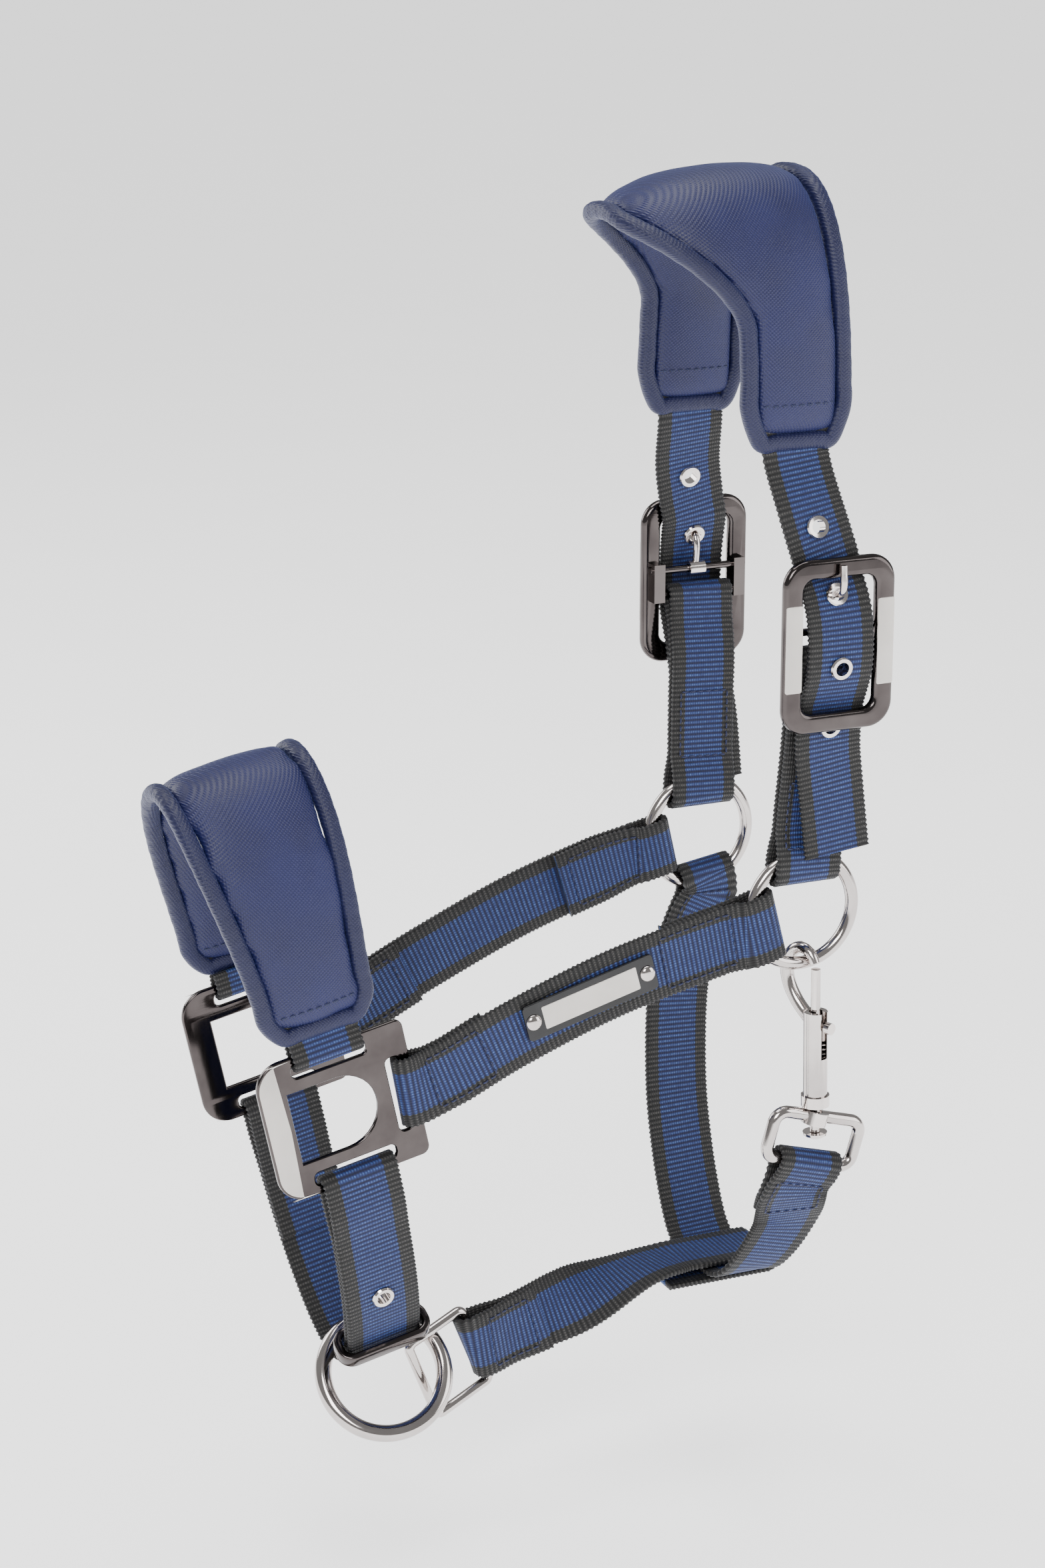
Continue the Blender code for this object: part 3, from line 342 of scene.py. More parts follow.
def metal_look(name, dark, light, rough, scratch):
    """Plated metal with fine wiping marks, and a painted highlight that lightens its sharp edges."""
    made, tree, shader = blank(name)
    clouds = noise(tree, 70.0, 4.0)
    marks = noise(tree, 500.0, 3.0, (1.0, 1.0, 0.08))
    # Sharp convex edges are mixed towards a lighter colour: a painted edge highlight.
    edge_pointiness = node(tree, "ShaderNodeNewGeometry").outputs["Pointiness"]
    edge_highlight_mask = ramp(tree, edge_pointiness, [(0.50, (0.0, 0.0, 0.0)), (0.60, (1.0, 1.0, 1.0))])
    base = ramp(tree, clouds, [(0.25, dark), (0.75, light)])
    edge_highlight_colour = tuple(min(1.0, c * 1.6 + 0.02) for c in light)
    colour = mix_colour(tree, math_node(tree, "MULTIPLY", edge_highlight_mask, 0.5), base, edge_highlight_colour)
    tree.links.new(colour, shader.inputs["Base Color"])
    shader.inputs["Metallic"].default_value = 1.0
    tree.links.new(weighted(tree, marks, scratch, rough), shader.inputs["Roughness"])
    tree.links.new(bump(tree, marks, 0.00002, 0.35), shader.inputs["Normal"])
    return made


def lacquer_look():
    """Black gloss lacquer over metal."""
    made, tree, shader = blank("black_lacquer")
    clouds = noise(tree, 120.0, 3.0)
    colour = ramp(tree, clouds, [(0.3, (0.006, 0.006, 0.007)), (0.8, (0.016, 0.016, 0.018))])
    tree.links.new(colour, shader.inputs["Base Color"])
    tree.links.new(weighted(tree, clouds, 0.12, 0.10), shader.inputs["Roughness"])
    shader.inputs["Specular IOR Level"].default_value = 0.35
    shader.inputs["Coat Weight"].default_value = 0.15
    shader.inputs["Coat Roughness"].default_value = 0.08
    tree.links.new(bump(tree, noise(tree, 900.0), 0.00001, 0.3), shader.inputs["Normal"])
    return made


LOOKS = {
    "webbing": webbing_look(),
    "neoprene": neoprene_look("satin_neoprene", (0.003, 0.004, 0.040), (0.010, 0.015, 0.105), 0.38),
    "binding": neoprene_look("bound_edge", (0.002, 0.003, 0.030), (0.005, 0.008, 0.062), 0.40),
    "thread": thread_look(),
    "gunmetal": metal_look("gunmetal", (0.050, 0.042, 0.042), (0.095, 0.083, 0.081), 0.06, 0.10),
    "chrome": metal_look("bright_nickel", (0.44, 0.40, 0.39), (0.58, 0.54, 0.52), 0.05, 0.10),
    "satin": metal_look("satin_nickel", (0.52, 0.49, 0.46), (0.62, 0.59, 0.56), 0.34, 0.12),
    "black_plate": lacquer_look(),
    "spring_steel": metal_look("spring_wire", (0.38, 0.38, 0.38), (0.50, 0.50, 0.50), 0.18, 0.15),
}

# ---------------------------------------------------------------- making pieces

def world(point):
    """A point in millimetres above ring level, as a place in the world in metres."""
    return Vector((point[0], point[1], point[2] - POLL_HEIGHT)) * MM


def place(obj, name, look, body=None, sharp=35.0):
    """Puts a piece in the scene. It stands for the CAD node of its name, or rides on body."""
    obj.data.materials.clear()
    obj.data.materials.append(LOOKS[look])
    for home in list(obj.users_collection):
        home.objects.unlink(obj)
    SCENE.collection.objects.link(obj)
    PIECES.append((obj, name, look, body, sharp))
    return obj


def evaluated_mesh(obj):
    bpy.context.view_layer.update()
    return bpy.data.meshes.new_from_object(obj.evaluated_get(bpy.context.evaluated_depsgraph_get()))


def settle(obj, name, look, body, sharp):
    """Applies a piece's modifiers, puts its mesh in the row frame and lets it ride."""
    mesh = evaluated_mesh(obj)
    mesh.transform(obj.matrix_world)
    obj.modifiers.clear()
    obj.data = mesh
    obj.matrix_world = Matrix.Identity(4)
    obj.name = name + "_piece" if body is None else name
    mesh.name = obj.name
    mesh.shade_smooth()
    mesh.set_sharp_from_angle(angle=math.radians(sharp))
    if body is None:
        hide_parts(name)
        body = frame["nodes"][name]["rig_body"]
    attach(obj, body)
    if name == "snap_spring":
        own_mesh(obj)


def boolean(obj, other, operation):
    SCENE.collection.objects.link(other)
    other.hide_render = True
    other.name = "cutter"
    modifier = obj.modifiers.new("cut", "BOOLEAN")
    modifier.object = other
    modifier.operation = operation
    modifier.solver = "MANIFOLD" if "weave" in obj.data.uv_layers else "EXACT"
    return obj


def mesh_object(name, build):
    bm = bmesh.new()
    build(bm)
    bmesh.ops.recalc_face_normals(bm, faces=bm.faces)
    mesh = bpy.data.meshes.new(name)
    bm.to_mesh(mesh)
    bm.free()
    return bpy.data.objects.new(name, mesh)


def turned(name, slot, profile, matrix, steps=40):
    """A turned piece: profile is (radius, height) points round its section, closed."""
    solid = min(r for r, _ in profile) == 0
    count = len(profile)

    def build(bm):
        rows = []
        for r, h in profile:
            angles = [2 * math.pi * i / steps for i in range(steps)]
            rows.append([bm.verts.new((r * MM * math.cos(a), r * MM * math.sin(a), h * MM)) for a in angles])
        for k in range(count - 1 if solid else count):
            here, there = rows[k], rows[(k + 1) % count]
            for i in range(steps):
                j = (i + 1) % steps
                bm.faces.new((here[i], here[j], there[j], there[i]))
        bmesh.ops.remove_doubles(bm, verts=bm.verts, dist=0.000005)

    obj = mesh_object(name, build)
    obj.matrix_world = matrix
    return place(obj, name, slot)


def torus(name, slot, centre, axis, radius, wire_radius):
    bpy.ops.mesh.primitive_torus_add(
        major_radius=radius * MM, minor_radius=wire_radius * MM, major_segments=144, minor_segments=28)
    obj = bpy.context.active_object
    obj.matrix_world = facing(axis, centre)
    return place(obj, name, slot)


def wire(name, points, radius, closed=False, radii=None, turns=4):
    """A round wire along points, as a mesh."""
    curve = bpy.data.curves.new(name, "CURVE")
    curve.dimensions = "3D"
    curve.bevel_depth = radius * MM
    curve.bevel_resolution = turns + 3
    curve.use_fill_caps = not closed
    spline = curve.splines.new("POLY")
    spline.points.add(len(points) - 1)
    for i, (corner, point) in enumerate(zip(spline.points, points)):
        corner.co = (*world(point), 1.0)
        corner.radius = radii[i] if radii else 1.0
    spline.use_cyclic_u = closed
    return meshed(name, curve)


def meshed(name, curve):
    helper = bpy.data.objects.new(name + "_curve", curve)
    SCENE.collection.objects.link(helper)
    graph = bpy.context.evaluated_depsgraph_get()
    mesh = bpy.data.meshes.new_from_object(helper.evaluated_get(graph))
    bpy.data.objects.remove(helper, do_unlink=True)
    bm = bmesh.new()
    bm.from_mesh(mesh)
    bmesh.ops.remove_doubles(bm, verts=bm.verts, dist=0.000002)
    bmesh.ops.recalc_face_normals(bm, faces=bm.faces)
    bm.to_mesh(mesh)
    bm.free()
    return bpy.data.objects.new(name, mesh)


def flat_part(name, outlines, thickness, edge, matrix):
    """A plate with holes: closed outlines in millimetres, with its rims rounded by edge."""
    curve = bpy.data.curves.new(name, "CURVE")
    curve.dimensions = "2D"
    curve.fill_mode = "BOTH"
    curve.extrude = (thickness / 2 - edge) * MM
    curve.bevel_depth = edge * MM
    curve.bevel_resolution = 4
    curve.offset = -edge * MM
    for outline in outlines:
        spline = curve.splines.new("POLY")
        spline.points.add(len(outline) - 1)
        for corner, (u, v) in zip(spline.points, outline):
            corner.co = (u * MM, v * MM, 0.0, 1.0)
        spline.use_cyclic_u = True
    obj = meshed(name, curve)
    obj.matrix_world = matrix
    return obj


def rounded_outline(corners, steps=12):
    """A closed outline with round corners: corners hold (u, v, radius), counter-clockwise."""
    found = []
    for i, (u, v, radius) in enumerate(corners):
        here = Vector((u, v))
        back = (Vector(corners[i - 1][:2]) - here).normalized()
        ahead = (Vector(corners[(i + 1) % len(corners)][:2]) - here).normalized()
        half = back.angle(ahead) / 2
        middle = here + (back + ahead).normalized() * (radius / math.sin(half))
        start = here + back * (radius / math.tan(half)) - middle
        finish = here + ahead * (radius / math.tan(half)) - middle
        sweep = start.angle_signed(finish)
        for k in range(steps + 1):
            turn = Matrix.Rotation(-sweep * k / steps, 2)
            found.append(tuple(middle + turn @ start))
    return found


def rectangle(half_u, half_v, radius, u=0.0, v=0.0):
    return rounded_outline([(u - half_u, v - half_v, radius), (u + half_u, v - half_v, radius),
                            (u + half_u, v + half_v, radius), (u - half_u, v + half_v, radius)])

# ---------------------------------------------------------------- woven webs

def web_section():
    """The web's section as shares of its half width and half thickness, once round."""
    flat = [-0.93 + 0.186 * i for i in range(11)]
    edge = [(0.975, 0.78), (1.0, 0.3), (1.0, -0.3), (0.975, -0.78)]
    top = [(x, 1.0) for x in flat]
    return top + edge + [(-x, -y) for x, y in top] + [(-x, -y) for x, y in edge]


def finely(path, across, widths, closed):
    """The path, across and widths again, RIB_STEPS rows to each rib, evenly along the web."""
    rows = np.array([[*p, *a, w] for p, a, w in zip(path, across, widths)])
    if closed:
        rows = np.vstack([rows[-1:], rows, rows[:2]])
    else:
        rows = np.vstack([2 * rows[:1] - rows[1:2], rows, 2 * rows[-1:] - rows[-2:-1]])
    found = []
    for a, b, c, d in zip(rows, rows[1:], rows[2:], rows[3:]):
        count = max(2, math.ceil(np.linalg.norm((c - b)[:3]) / ROW_STEP))
        t = (np.arange(count) / count)[:, None]
        found.append(0.5 * (2 * b + (c - a) * t + (2 * a - 5 * b + 4 * c - d) * t * t
                            + (3 * b - a - 3 * c + d) * t ** 3))
    found = np.vstack([*found, rows[-2:-1]])
    run = np.concatenate([[0.0], np.cumsum(np.linalg.norm(np.diff(found[:, :3], axis=0), axis=1))])
    ribs = max(2, round(run[-1] / RIB_PITCH))
    at = np.linspace(0.0, run[-1], ribs * RIB_STEPS + 1)
    return np.column_stack([np.interp(at, run, found[:, k]) for k in range(found.shape[1])])


def ribbon(name, slot, path, across, width=WEB_WIDTH, closed=False):
    """A ribbed web along path, with scalloped selvedges; across is its width's direction."""
    widths = width if isinstance(width, list) else [width] * len(path)
    rows = finely(path, across, widths, closed)
    centres, sides, wide = rows[:, :3], rows[:, 3:6], rows[:, 6]
    along = np.gradient(centres, axis=0)
    if closed:
        along[0] = along[-1] = centres[1] - centres[-2]
    along /= np.linalg.norm(along, axis=1)[:, None]
    sides = sides - along * np.sum(sides * along, axis=1)[:, None]
    sides /= np.linalg.norm(sides, axis=1)[:, None]
    ups = np.cross(along, sides)
    phase = np.arange(len(rows)) / RIB_STEPS
    crest = np.cos(2 * math.pi * phase)
    section = np.array(web_section())
    half = wide / 2 + SCALLOP * (crest - 0.4)
    thick = WEB_THICK / 2 + RIB_DEPTH * 0.5 * (crest - 0.6)
    points = (centres[:, None, :] + sides[:, None, :] * (half[:, None] * section[:, 0])[:, :, None]
              + ups[:, None, :] * (thick[:, None] * section[:, 1])[:, :, None])
    if closed:
        points = points[:-1]
    points[:, :, 2] -= POLL_HEIGHT
    count = len(section)
    total = len(points)
    faces, coordinates = [], []
    share = (section[:, 0] + 1) / 2
    for i in range(total if closed else total - 1):
        for j in range(count):
            k = (j + 1) % count
            n = (i + 1) % total
            faces.append((i * count + j, i * count + k, n * count + k, n * count + j))
            coordinates += [share[j], phase[i], share[k], phase[i], share[k], phase[i + 1],
                            share[j], phase[i + 1]]
    if not closed:
        last = (total - 1) * count
        faces += [tuple(range(count))[::-1], tuple(last + j for j in range(count))]
        for row in (0, total - 1):
            for j in range(count):
                coordinates += [share[j], phase[row]]
    mesh = bpy.data.meshes.new(name)
    mesh.from_pydata((points.reshape(-1, 3) * MM).tolist(), [], faces)
    mesh.uv_layers.new(name="weave").data.foreach_set("uv", coordinates)
    obj = bpy.data.objects.new(name, mesh)
    if signed_volume(mesh) < 0:
        mesh.flip_normals()
    WEBS[name] = (centres, sides, ups, wide)
    return place(obj, name, slot, sharp=180.0)


def signed_volume(mesh):
    bm = bmesh.new()
    bm.from_mesh(mesh)
    volume = bm.calc_volume(signed=True)
    bm.free()
    return volume


def stitch(bm, point, along, out, length):
    """One short thread that dips into the cloth at both ends."""
    across = along.cross(out).normalized()
    rows = []
    for t in (-1.0, -0.6, 0.0, 0.6, 1.0):
        lift = STITCH_RADIUS * (1 - t * t) - STITCH_SINK
        middle = point + along * t * length / 2 + out * lift
        radius = STITCH_RADIUS if abs(t) < 0.9 else 0.6 * STITCH_RADIUS
        rows.append([bm.verts.new(world(middle + (across * math.cos(a) + out * math.sin(a)) * radius))
                     for a in (math.pi * i / 3 for i in range(6))])
    for here, there in zip(rows, rows[1:]):
        for i in range(6):
            j = (i + 1) % 6
            bm.faces.new((here[i], here[j], there[j], there[i]))
    bm.faces.new(rows[0])
    bm.faces.new(rows[-1])


def seam(name, body, lines, pitch=STITCH_PITCH, length=STITCH_LENGTH):
    """Rows of stitches: each line holds (point, out) pairs that it runs through."""
    def build(bm):
        for line in lines:
            points = [p for p, _ in line]
            outs = [o for _, o in line]
            run = lengths(points)
            count = max(1, round(run[-1] / pitch))
            for k in range(count):
                at = (k + 0.5) * run[-1] / count
                i = max(i for i in range(len(run) - 1) if run[i] <= at)
                t = (at - run[i]) / max(run[i + 1] - run[i], 1e-6)
                along = (points[i + 1] - points[i]).normalized()
                out = outs[i].lerp(outs[i + 1], t)
                out = (out - along * out.dot(along)).normalized()
                stitch(bm, points[i].lerp(points[i + 1], t), along, out, length)

    return place(mesh_object(name, build), name, "thread", body, 60.0)


def web_seam(name, node_name, start, reach, outward, inset=3.2):
    """A box of stitches on a web: start and reach are millimetres along it from its first row."""
    centres, sides, ups, wide = WEBS[node_name]
    steps = np.linalg.norm(np.diff(centres, axis=0), axis=1)
    run = np.concatenate([[0.0], np.cumsum(steps)])

    def spot(at, share):
        i = int(np.searchsorted(run, at))
        i = min(max(i, 0), len(run) - 1)
        up = Vector(ups[i]) * outward
        point = Vector(centres[i]) + Vector(sides[i]) * (wide[i] / 2 - inset) * share
        return point + up * (WEB_THICK / 2 + 0.02), up

    low = start if start >= 0 else run[-1] + start
    high = low + reach
    shares = [-1 + 0.25 * i for i in range(9)]
    ats = [low + (high - low) * i / 8 for i in range(9)]
    lines = [[spot(low, s) for s in shares], [spot(high, s) for s in shares]]
    if reach > 6:
        lines += [[spot(a, -1) for a in ats], [spot(a, 1) for a in ats]]
    return seam(name, "collar", lines)


# ---------------------------------------------------------------- padded sleeves

def skin_mesh(name, rings):
    """A closed pillow through the rings, narrower than them by SKIN_INSET at each edge."""
    def build(bm):
        rows = []
        for middle, across, out, front, rear, thick, droop in rings:
            centre, half = (rear - front) / 2, (rear + front) / 2 - SKIN_INSET
            row = []
            for i in range(SKIN_SIDES):
                a = 2 * math.pi * (i + 0.5) / SKIN_SIDES
                x = centre + half * rounded_power(math.cos(a), 0.7)
                y = thick / 2 * rounded_power(math.sin(a), 0.7)
                y -= droop * max(0.0, -x - WEB_WIDTH / 2) ** 2
                row.append(bm.verts.new(world(middle + across * x + out * y)))
            rows.append(row)
        for here, there in zip(rows, rows[1:]):
            for i in range(SKIN_SIDES):
                j = (i + 1) % SKIN_SIDES
                bm.faces.new((here[i], here[j], there[j], there[i]))
        bm.faces.new(rows[0])
        bm.faces.new(rows[-1])

    return mesh_object(name, build)


def edge_share(point, rings):
    """How firmly a point is held: 1 at the pad's edges and ends, 0 over its stuffed middle."""
    spot = min(range(len(rings)), key=lambda i: (world(rings[i][0]) - point).length_squared)
    middle, across, _, front, rear, _, _ = rings[spot]
    x = (point - world(middle)).dot(across) / MM
    left = min(front + x, rear - x) - SKIN_INSET
    from_end = min(spot, len(rings) - 1 - spot)
    return max(1 - ease((left - HELD_EDGE[0]) / HELD_EDGE[1]), 1 - ease(from_end / HELD_RINGS))


def stuffed(obj, rings):
    """Remeshes the skin and lets pressure swell it while its sewn edges stay held."""
    remesh = obj.modifiers.new("voxels", "REMESH")
    remesh.mode = "VOXEL"
    remesh.voxel_size = VOXEL * MM
    soften = obj.modifiers.new("soften", "SMOOTH")
    soften.iterations = 6
    obj.data = evaluated_mesh(obj)
    obj.modifiers.clear()
    rest = np.array([v.co for v in obj.data.vertices])
    held = obj.vertex_groups.new(name="held")
    weights = [edge_share(v.co, rings) for v in obj.data.vertices]
    for vertex, weight in zip(obj.data.vertices, weights):
        held.add([vertex.index], weight, "REPLACE")
    cloth = obj.modifiers.new("cloth", "CLOTH")
    cloth.settings.vertex_group_mass = "held"
    cloth.settings.use_pressure = True
    cloth.settings.uniform_pressure_force = PRESSURE
    cloth.settings.effector_weights.gravity = 0.0
    cloth.settings.quality = 8
    cloth.point_cache.frame_start = 1
    cloth.point_cache.frame_end = LAST_FRAME
    for number in range(1, LAST_FRAME + 1):
        SCENE.frame_set(number)
    blown = evaluated_mesh(obj)
    moved = np.array([v.co for v in blown.vertices]) - rest
    size = np.linalg.norm(moved, axis=1)[:, None]
    moved *= np.minimum(1.0, MOST_SWELL * MM / np.maximum(size, 1e-9))
    obj.modifiers.clear()
    SCENE.frame_set(1)
    obj.data.vertices.foreach_set("co", (rest + moved).reshape(-1))
    obj.data.update()
    soften = obj.modifiers.new("soften", "SMOOTH")
    soften.iterations = 4
    fine = obj.modifiers.new("fine", "SUBSURF")
    fine.levels = fine.render_levels = 1
    obj.data = evaluated_mesh(obj)
    obj.modifiers.clear()
    obj.vertex_groups.clear()


def edge_point(ring, x):
    middle, across, out, _, _, _, droop = ring
    return middle + across * x - out * droop * max(0.0, -x - WEB_WIDTH / 2) ** 2


def bound_edge(name, rings):
    """The rolled binding: one closed tube round the sleeve's two long edges and two hems."""
    half_width, half_thick = BINDING
    loop = []
    for ring in rings[1:-1]:
        loop.append((edge_point(ring, -ring[3] + half_width), ring[2]))
    ring = rings[-1]
    for i in range(1, 8):
        x = (-ring[3] + half_width) + (ring[3] + ring[4] - 2 * half_width) * i / 8
        loop.append((edge_point(ring, x), ring[2]))
    for ring in rings[1:-1][::-1]:
        loop.append((edge_point(ring, ring[4] - half_width), ring[2]))
    ring = rings[0]
    for i in range(1, 8):
        x = (ring[4] - half_width) - (ring[3] + ring[4] - 2 * half_width) * i / 8
        loop.append((edge_point(ring, x), ring[2]))
    count = len(loop)
    points = [p for p, _ in loop]
    outs = [o for _, o in loop]
    dense, dense_out = [], []
    for i in range(count):
        a, b, c, d = (points[(i + k - 1) % count] for k in range(4))
        for s in range(4):
            t = s / 4
            dense.append(0.5 * (2 * b + (c - a) * t + (2 * a - 5 * b + 4 * c - d) * t * t
                                + (3 * b - a - 3 * c + d) * t ** 3))
            dense_out.append(outs[i].lerp(outs[(i + 1) % count], t).normalized())

    def build(bm):
        rows = []
        total = len(dense)
        for i, (point, out) in enumerate(zip(dense, dense_out)):
            along = (dense[(i + 1) % total] - dense[i - 1]).normalized()
            out = (out - along * out.dot(along)).normalized()
            across = along.cross(out)
            pucker = 1.0 + 0.03 * math.sin(i * 2.3) + 0.02 * math.sin(i * 0.9)
            row = []
            for k in range(BINDING_SIDES):
                a = 2 * math.pi * k / BINDING_SIDES
                x = half_width * rounded_power(math.cos(a), 0.85) * pucker
                y = half_thick * rounded_power(math.sin(a), 0.85) * pucker
                row.append(bm.verts.new(world(point + across * x + out * y)))
            rows.append(row)
        for here, there in zip(rows, rows[1:] + rows[:1]):
            for i in range(BINDING_SIDES):
                j = (i + 1) % BINDING_SIDES
                bm.faces.new((here[i], here[j], there[j], there[i]))

    obj = mesh_object(name, build)
    fine = obj.modifiers.new("fine", "SUBSURF")
    fine.levels = fine.render_levels = 1
    return place(obj, name, "binding", "collar", 180.0)


def hem_seams(name, skin, rings):
    """Stitches across both faces of the sleeve near each end, laid on its final surface."""
    tree = BVHTree.FromPolygons([v.co for v in skin.data.vertices],
                                [tuple(p.vertices) for p in skin.data.polygons])
    lines = []
    for ring, beside in ((rings[1], rings[2]), (rings[-2], rings[-3])):
        for face in (-1, 1):
            line = []
            for i in range(11):
                x = -ring[3] + 7 + (ring[3] + ring[4] - 14) * i / 10
                start = edge_point(ring, x).lerp(edge_point(beside, x), 0.2)
                out = ring[2] * face
                hit = tree.ray_cast(world(start + out * 20), -out)[0]
                if hit is not None:
                    line.append((hit / MM + Vector((0, 0, POLL_HEIGHT)), out))
            if len(line) > 2:
                lines.append(line)
    seam(name, "collar", lines, 3.2, 2.2)


def sleeve(name, rings):
    """A padded sleeve: stuffed skin, rolled binding and hem stitches."""
    skin = skin_mesh(name, rings)
    SCENE.collection.objects.link(skin)
    stuffed(skin, rings)
    place(skin, name, "neoprene", sharp=180.0)
    bound_edge(name + "_binding", rings)
    hem_seams(name + "_hem_stitches", skin, rings)


def pads():
    sleeve("crown_pad", arch_rings(crown_arch, X_AXIS, SKIN_RINGS, crown_shape))
    sleeve("nose_pad", arch_rings(nose_arch, FACE_U, SKIN_RINGS, nose_shape))

def world(point):
    """A point in millimetres above ring level, as a place in the world in metres."""
    return Vector((point[0], point[1], point[2] - POLL_HEIGHT)) * MM

def basis(x_axis, y_axis, z_axis, origin):
    """The matrix that carries a shape's own axes to these axes at this point."""
    turn = Matrix((x_axis, y_axis, z_axis)).transposed().to_4x4()
    return Matrix.Translation(world(origin)) @ turn

def facing(axis, origin):
    """A matrix whose Z runs along axis."""
    return Matrix.Translation(world(origin)) @ axis.to_track_quat("Z", "Y").to_matrix().to_4x4()

def cylinder(name, start, end, radius, sides=20, end_radius=None):
    axis = Vector(end) - Vector(start)

    def build(bm):
        bmesh.ops.create_cone(
            bm, cap_ends=True, segments=sides, radius1=radius * MM,
            radius2=(radius if end_radius is None else end_radius) * MM, depth=axis.length * MM)

    obj = mesh_object(name, build)
    obj.matrix_world = facing(axis.normalized(), (Vector(start) + Vector(end)) / 2)
    return obj

def box(name, matrix, low, high):
    """A box between two corners given in the axes of matrix."""
    size = Vector(high) - Vector(low)
    middle = (Vector(high) + Vector(low)) / 2

    def build(bm):
        shape = Matrix.Translation(middle * MM) @ Matrix.Diagonal((*(size * MM), 1.0))
        bmesh.ops.create_cube(bm, size=1.0, matrix=shape)

    obj = mesh_object(name, build)
    obj.matrix_world = matrix
    return obj

def smooth(points, step):
    """Catmull-Rom through points, with a sample about every step."""
    points = [Vector(p) for p in points]
    ends = [points[0] * 2 - points[1], *points, points[-1] * 2 - points[-2]]
    found = []
    for a, b, c, d in zip(ends, ends[1:], ends[2:], ends[3:]):
        count = max(2, round((c - b).length / step))
        for i in range(count):
            t = i / count
            found.append(0.5 * (2 * b + (c - a) * t + (2 * a - 5 * b + 4 * c - d) * t * t
                                + (3 * b - a - 3 * c + d) * t ** 3))
    return [*found, points[-1]]

def tangents(path):
    last = len(path) - 1
    return [(path[min(i + 1, last)] - path[max(i - 1, 0)]).normalized() for i in range(len(path))]

def lengths(path):
    total = [0.0]
    for a, b in zip(path, path[1:]):
        total.append(total[-1] + (b - a).length)
    return total

def ease(t):
    t = min(max(t, 0.0), 1.0)
    return t * t * (3 - 2 * t)

def fold(centre, away, out, radius, count=9):
    """A web's middle round a bar, from its inner side to its outer one; away is where it leaves to."""
    angles = [math.pi * i / count for i in range(count + 1)]
    return [centre - radius * (out * math.cos(a) + away * math.sin(a)) for a in angles]

def face_point(u, v, out):
    """A point given along, up and out from the middle between the two side plates."""
    cos, sin = math.cos(FACE_TILT), math.sin(FACE_TILT)
    return FACE_CENTRE + Vector((u * cos - v * sin, out, u * sin + v * cos))
FACE_U = Vector((math.cos(FACE_TILT), 0.0, math.sin(FACE_TILT)))
FACE_V = Vector((-math.sin(FACE_TILT), 0.0, math.cos(FACE_TILT)))
X_AXIS, Y_AXIS, Z_AXIS = Vector((1, 0, 0)), Vector((0, 1, 0)), Vector((0, 0, 1))

def rounded_power(value, power):
    return math.copysign(abs(value) ** power, value)

def crown_arch(angle):
    """The crown's middle line: angle -90 is the near end, +90 the far end."""
    side = rounded_power(math.sin(angle), 0.8) * CROWN_OUT
    rise = max(math.cos(angle), 0.0) ** 0.8 * CROWN_RISE
    return Vector((-6.0, side, CROWN_BASE + rise))

def nose_arch(angle):
    side = math.sin(angle) * (PLATE_OUT + 0.6)
    return face_point(-0.5, NOSE_BASE_V + NOSE_RISE * math.cos(angle), side)

def arch_rings(arch, across, count, shape):
    """Rings for a sleeve over an arch; shape(t) gives front, rear, thick and droop, t being 1 on top."""
    steps = [math.radians(-90 + 180 * i / count) for i in range(count + 1)]
    path = [arch(a) for a in steps]
    found = []
    for angle, point, along in zip(steps, path, tangents(path)):
        out = across.cross(along).normalized()
        found.append((point, across, out, *shape(math.cos(angle))))
    return found

def crown_shape(t):
    flare = ease((t - 0.35) / 0.65)
    return 20.5 + 35.0 * flare, 20.5, 8.5, 0.006 * flare

def nose_shape(t):
    flare = ease(t)
    return 20.5 + 6.5 * flare, 20.5 + 6.5 * flare, 8.5, 0.0
CROWN_TAIL = (
    (20.0, 47.6, 9.0), (42.0, 47.0, 6.5), (56.0, 47.6, 4.5), (66.0, 49.0, 3.8), (74.0, 51.0, 3.5),
    (84.0, 55.4, 3.5), (92.0, 56.6, 3.5), (100.0, 56.3, 3.5), (106.5, 55.2, 3.3),
    (112.5, 53.1, 2.8), (119.0, 50.3, 1.8), (126.0, 49.5, 0.2), (140.0, 46.2, -3.2),
    (155.0, 40.2, -5.5),
)                                   # height, distance out, place along X
EYELET_HEIGHTS = {"upper": 134.0, "tongue": 112.5, "lower": 90.0, "last": 64.0}
EYELET_NAMES = tuple(EYELET_HEIGHTS)

def crown_side(side):
    return [Vector((x, side * out, z)) for z, out, x in CROWN_TAIL]

def crown_line():
    arch = [crown_arch(math.radians(a)) for a in range(-90, 91, 10)]
    points = crown_side(-1) + arch + crown_side(1)[::-1]
    return smooth(points, 4.5)

def nearest(path, side, height):
    """Index of the path's point at this height, on the side of -1 or +1."""
    here = [i for i, p in enumerate(path) if p.y * side > 5]
    return min(here, key=lambda i: abs(path[i].z - height))

def eyelet_profile():
    outer, tube, half = 4.1, 2.7, WEB_THICK / 2 + GAP
    return [(2.45, -half - 0.6), (3.7, -half - 0.7), (outer, -half), (tube, -half),
            (tube, half), (outer, half), (3.7, half + 0.7), (2.45, half + 0.6)]

def eyelet(web, name, point, along, across):
    """An eyelet, and the hole that it sits in."""
    out = along.cross(across).normalized()
    hole = cylinder(name + "_hole", point - out * 4, point + out * 4, EYELET_HOLE)
    boolean(web, hole, "DIFFERENCE")
    side = (across - along * across.dot(along)).normalized()
    turned(name, "chrome", eyelet_profile(), basis(side, out.cross(side), out, point))

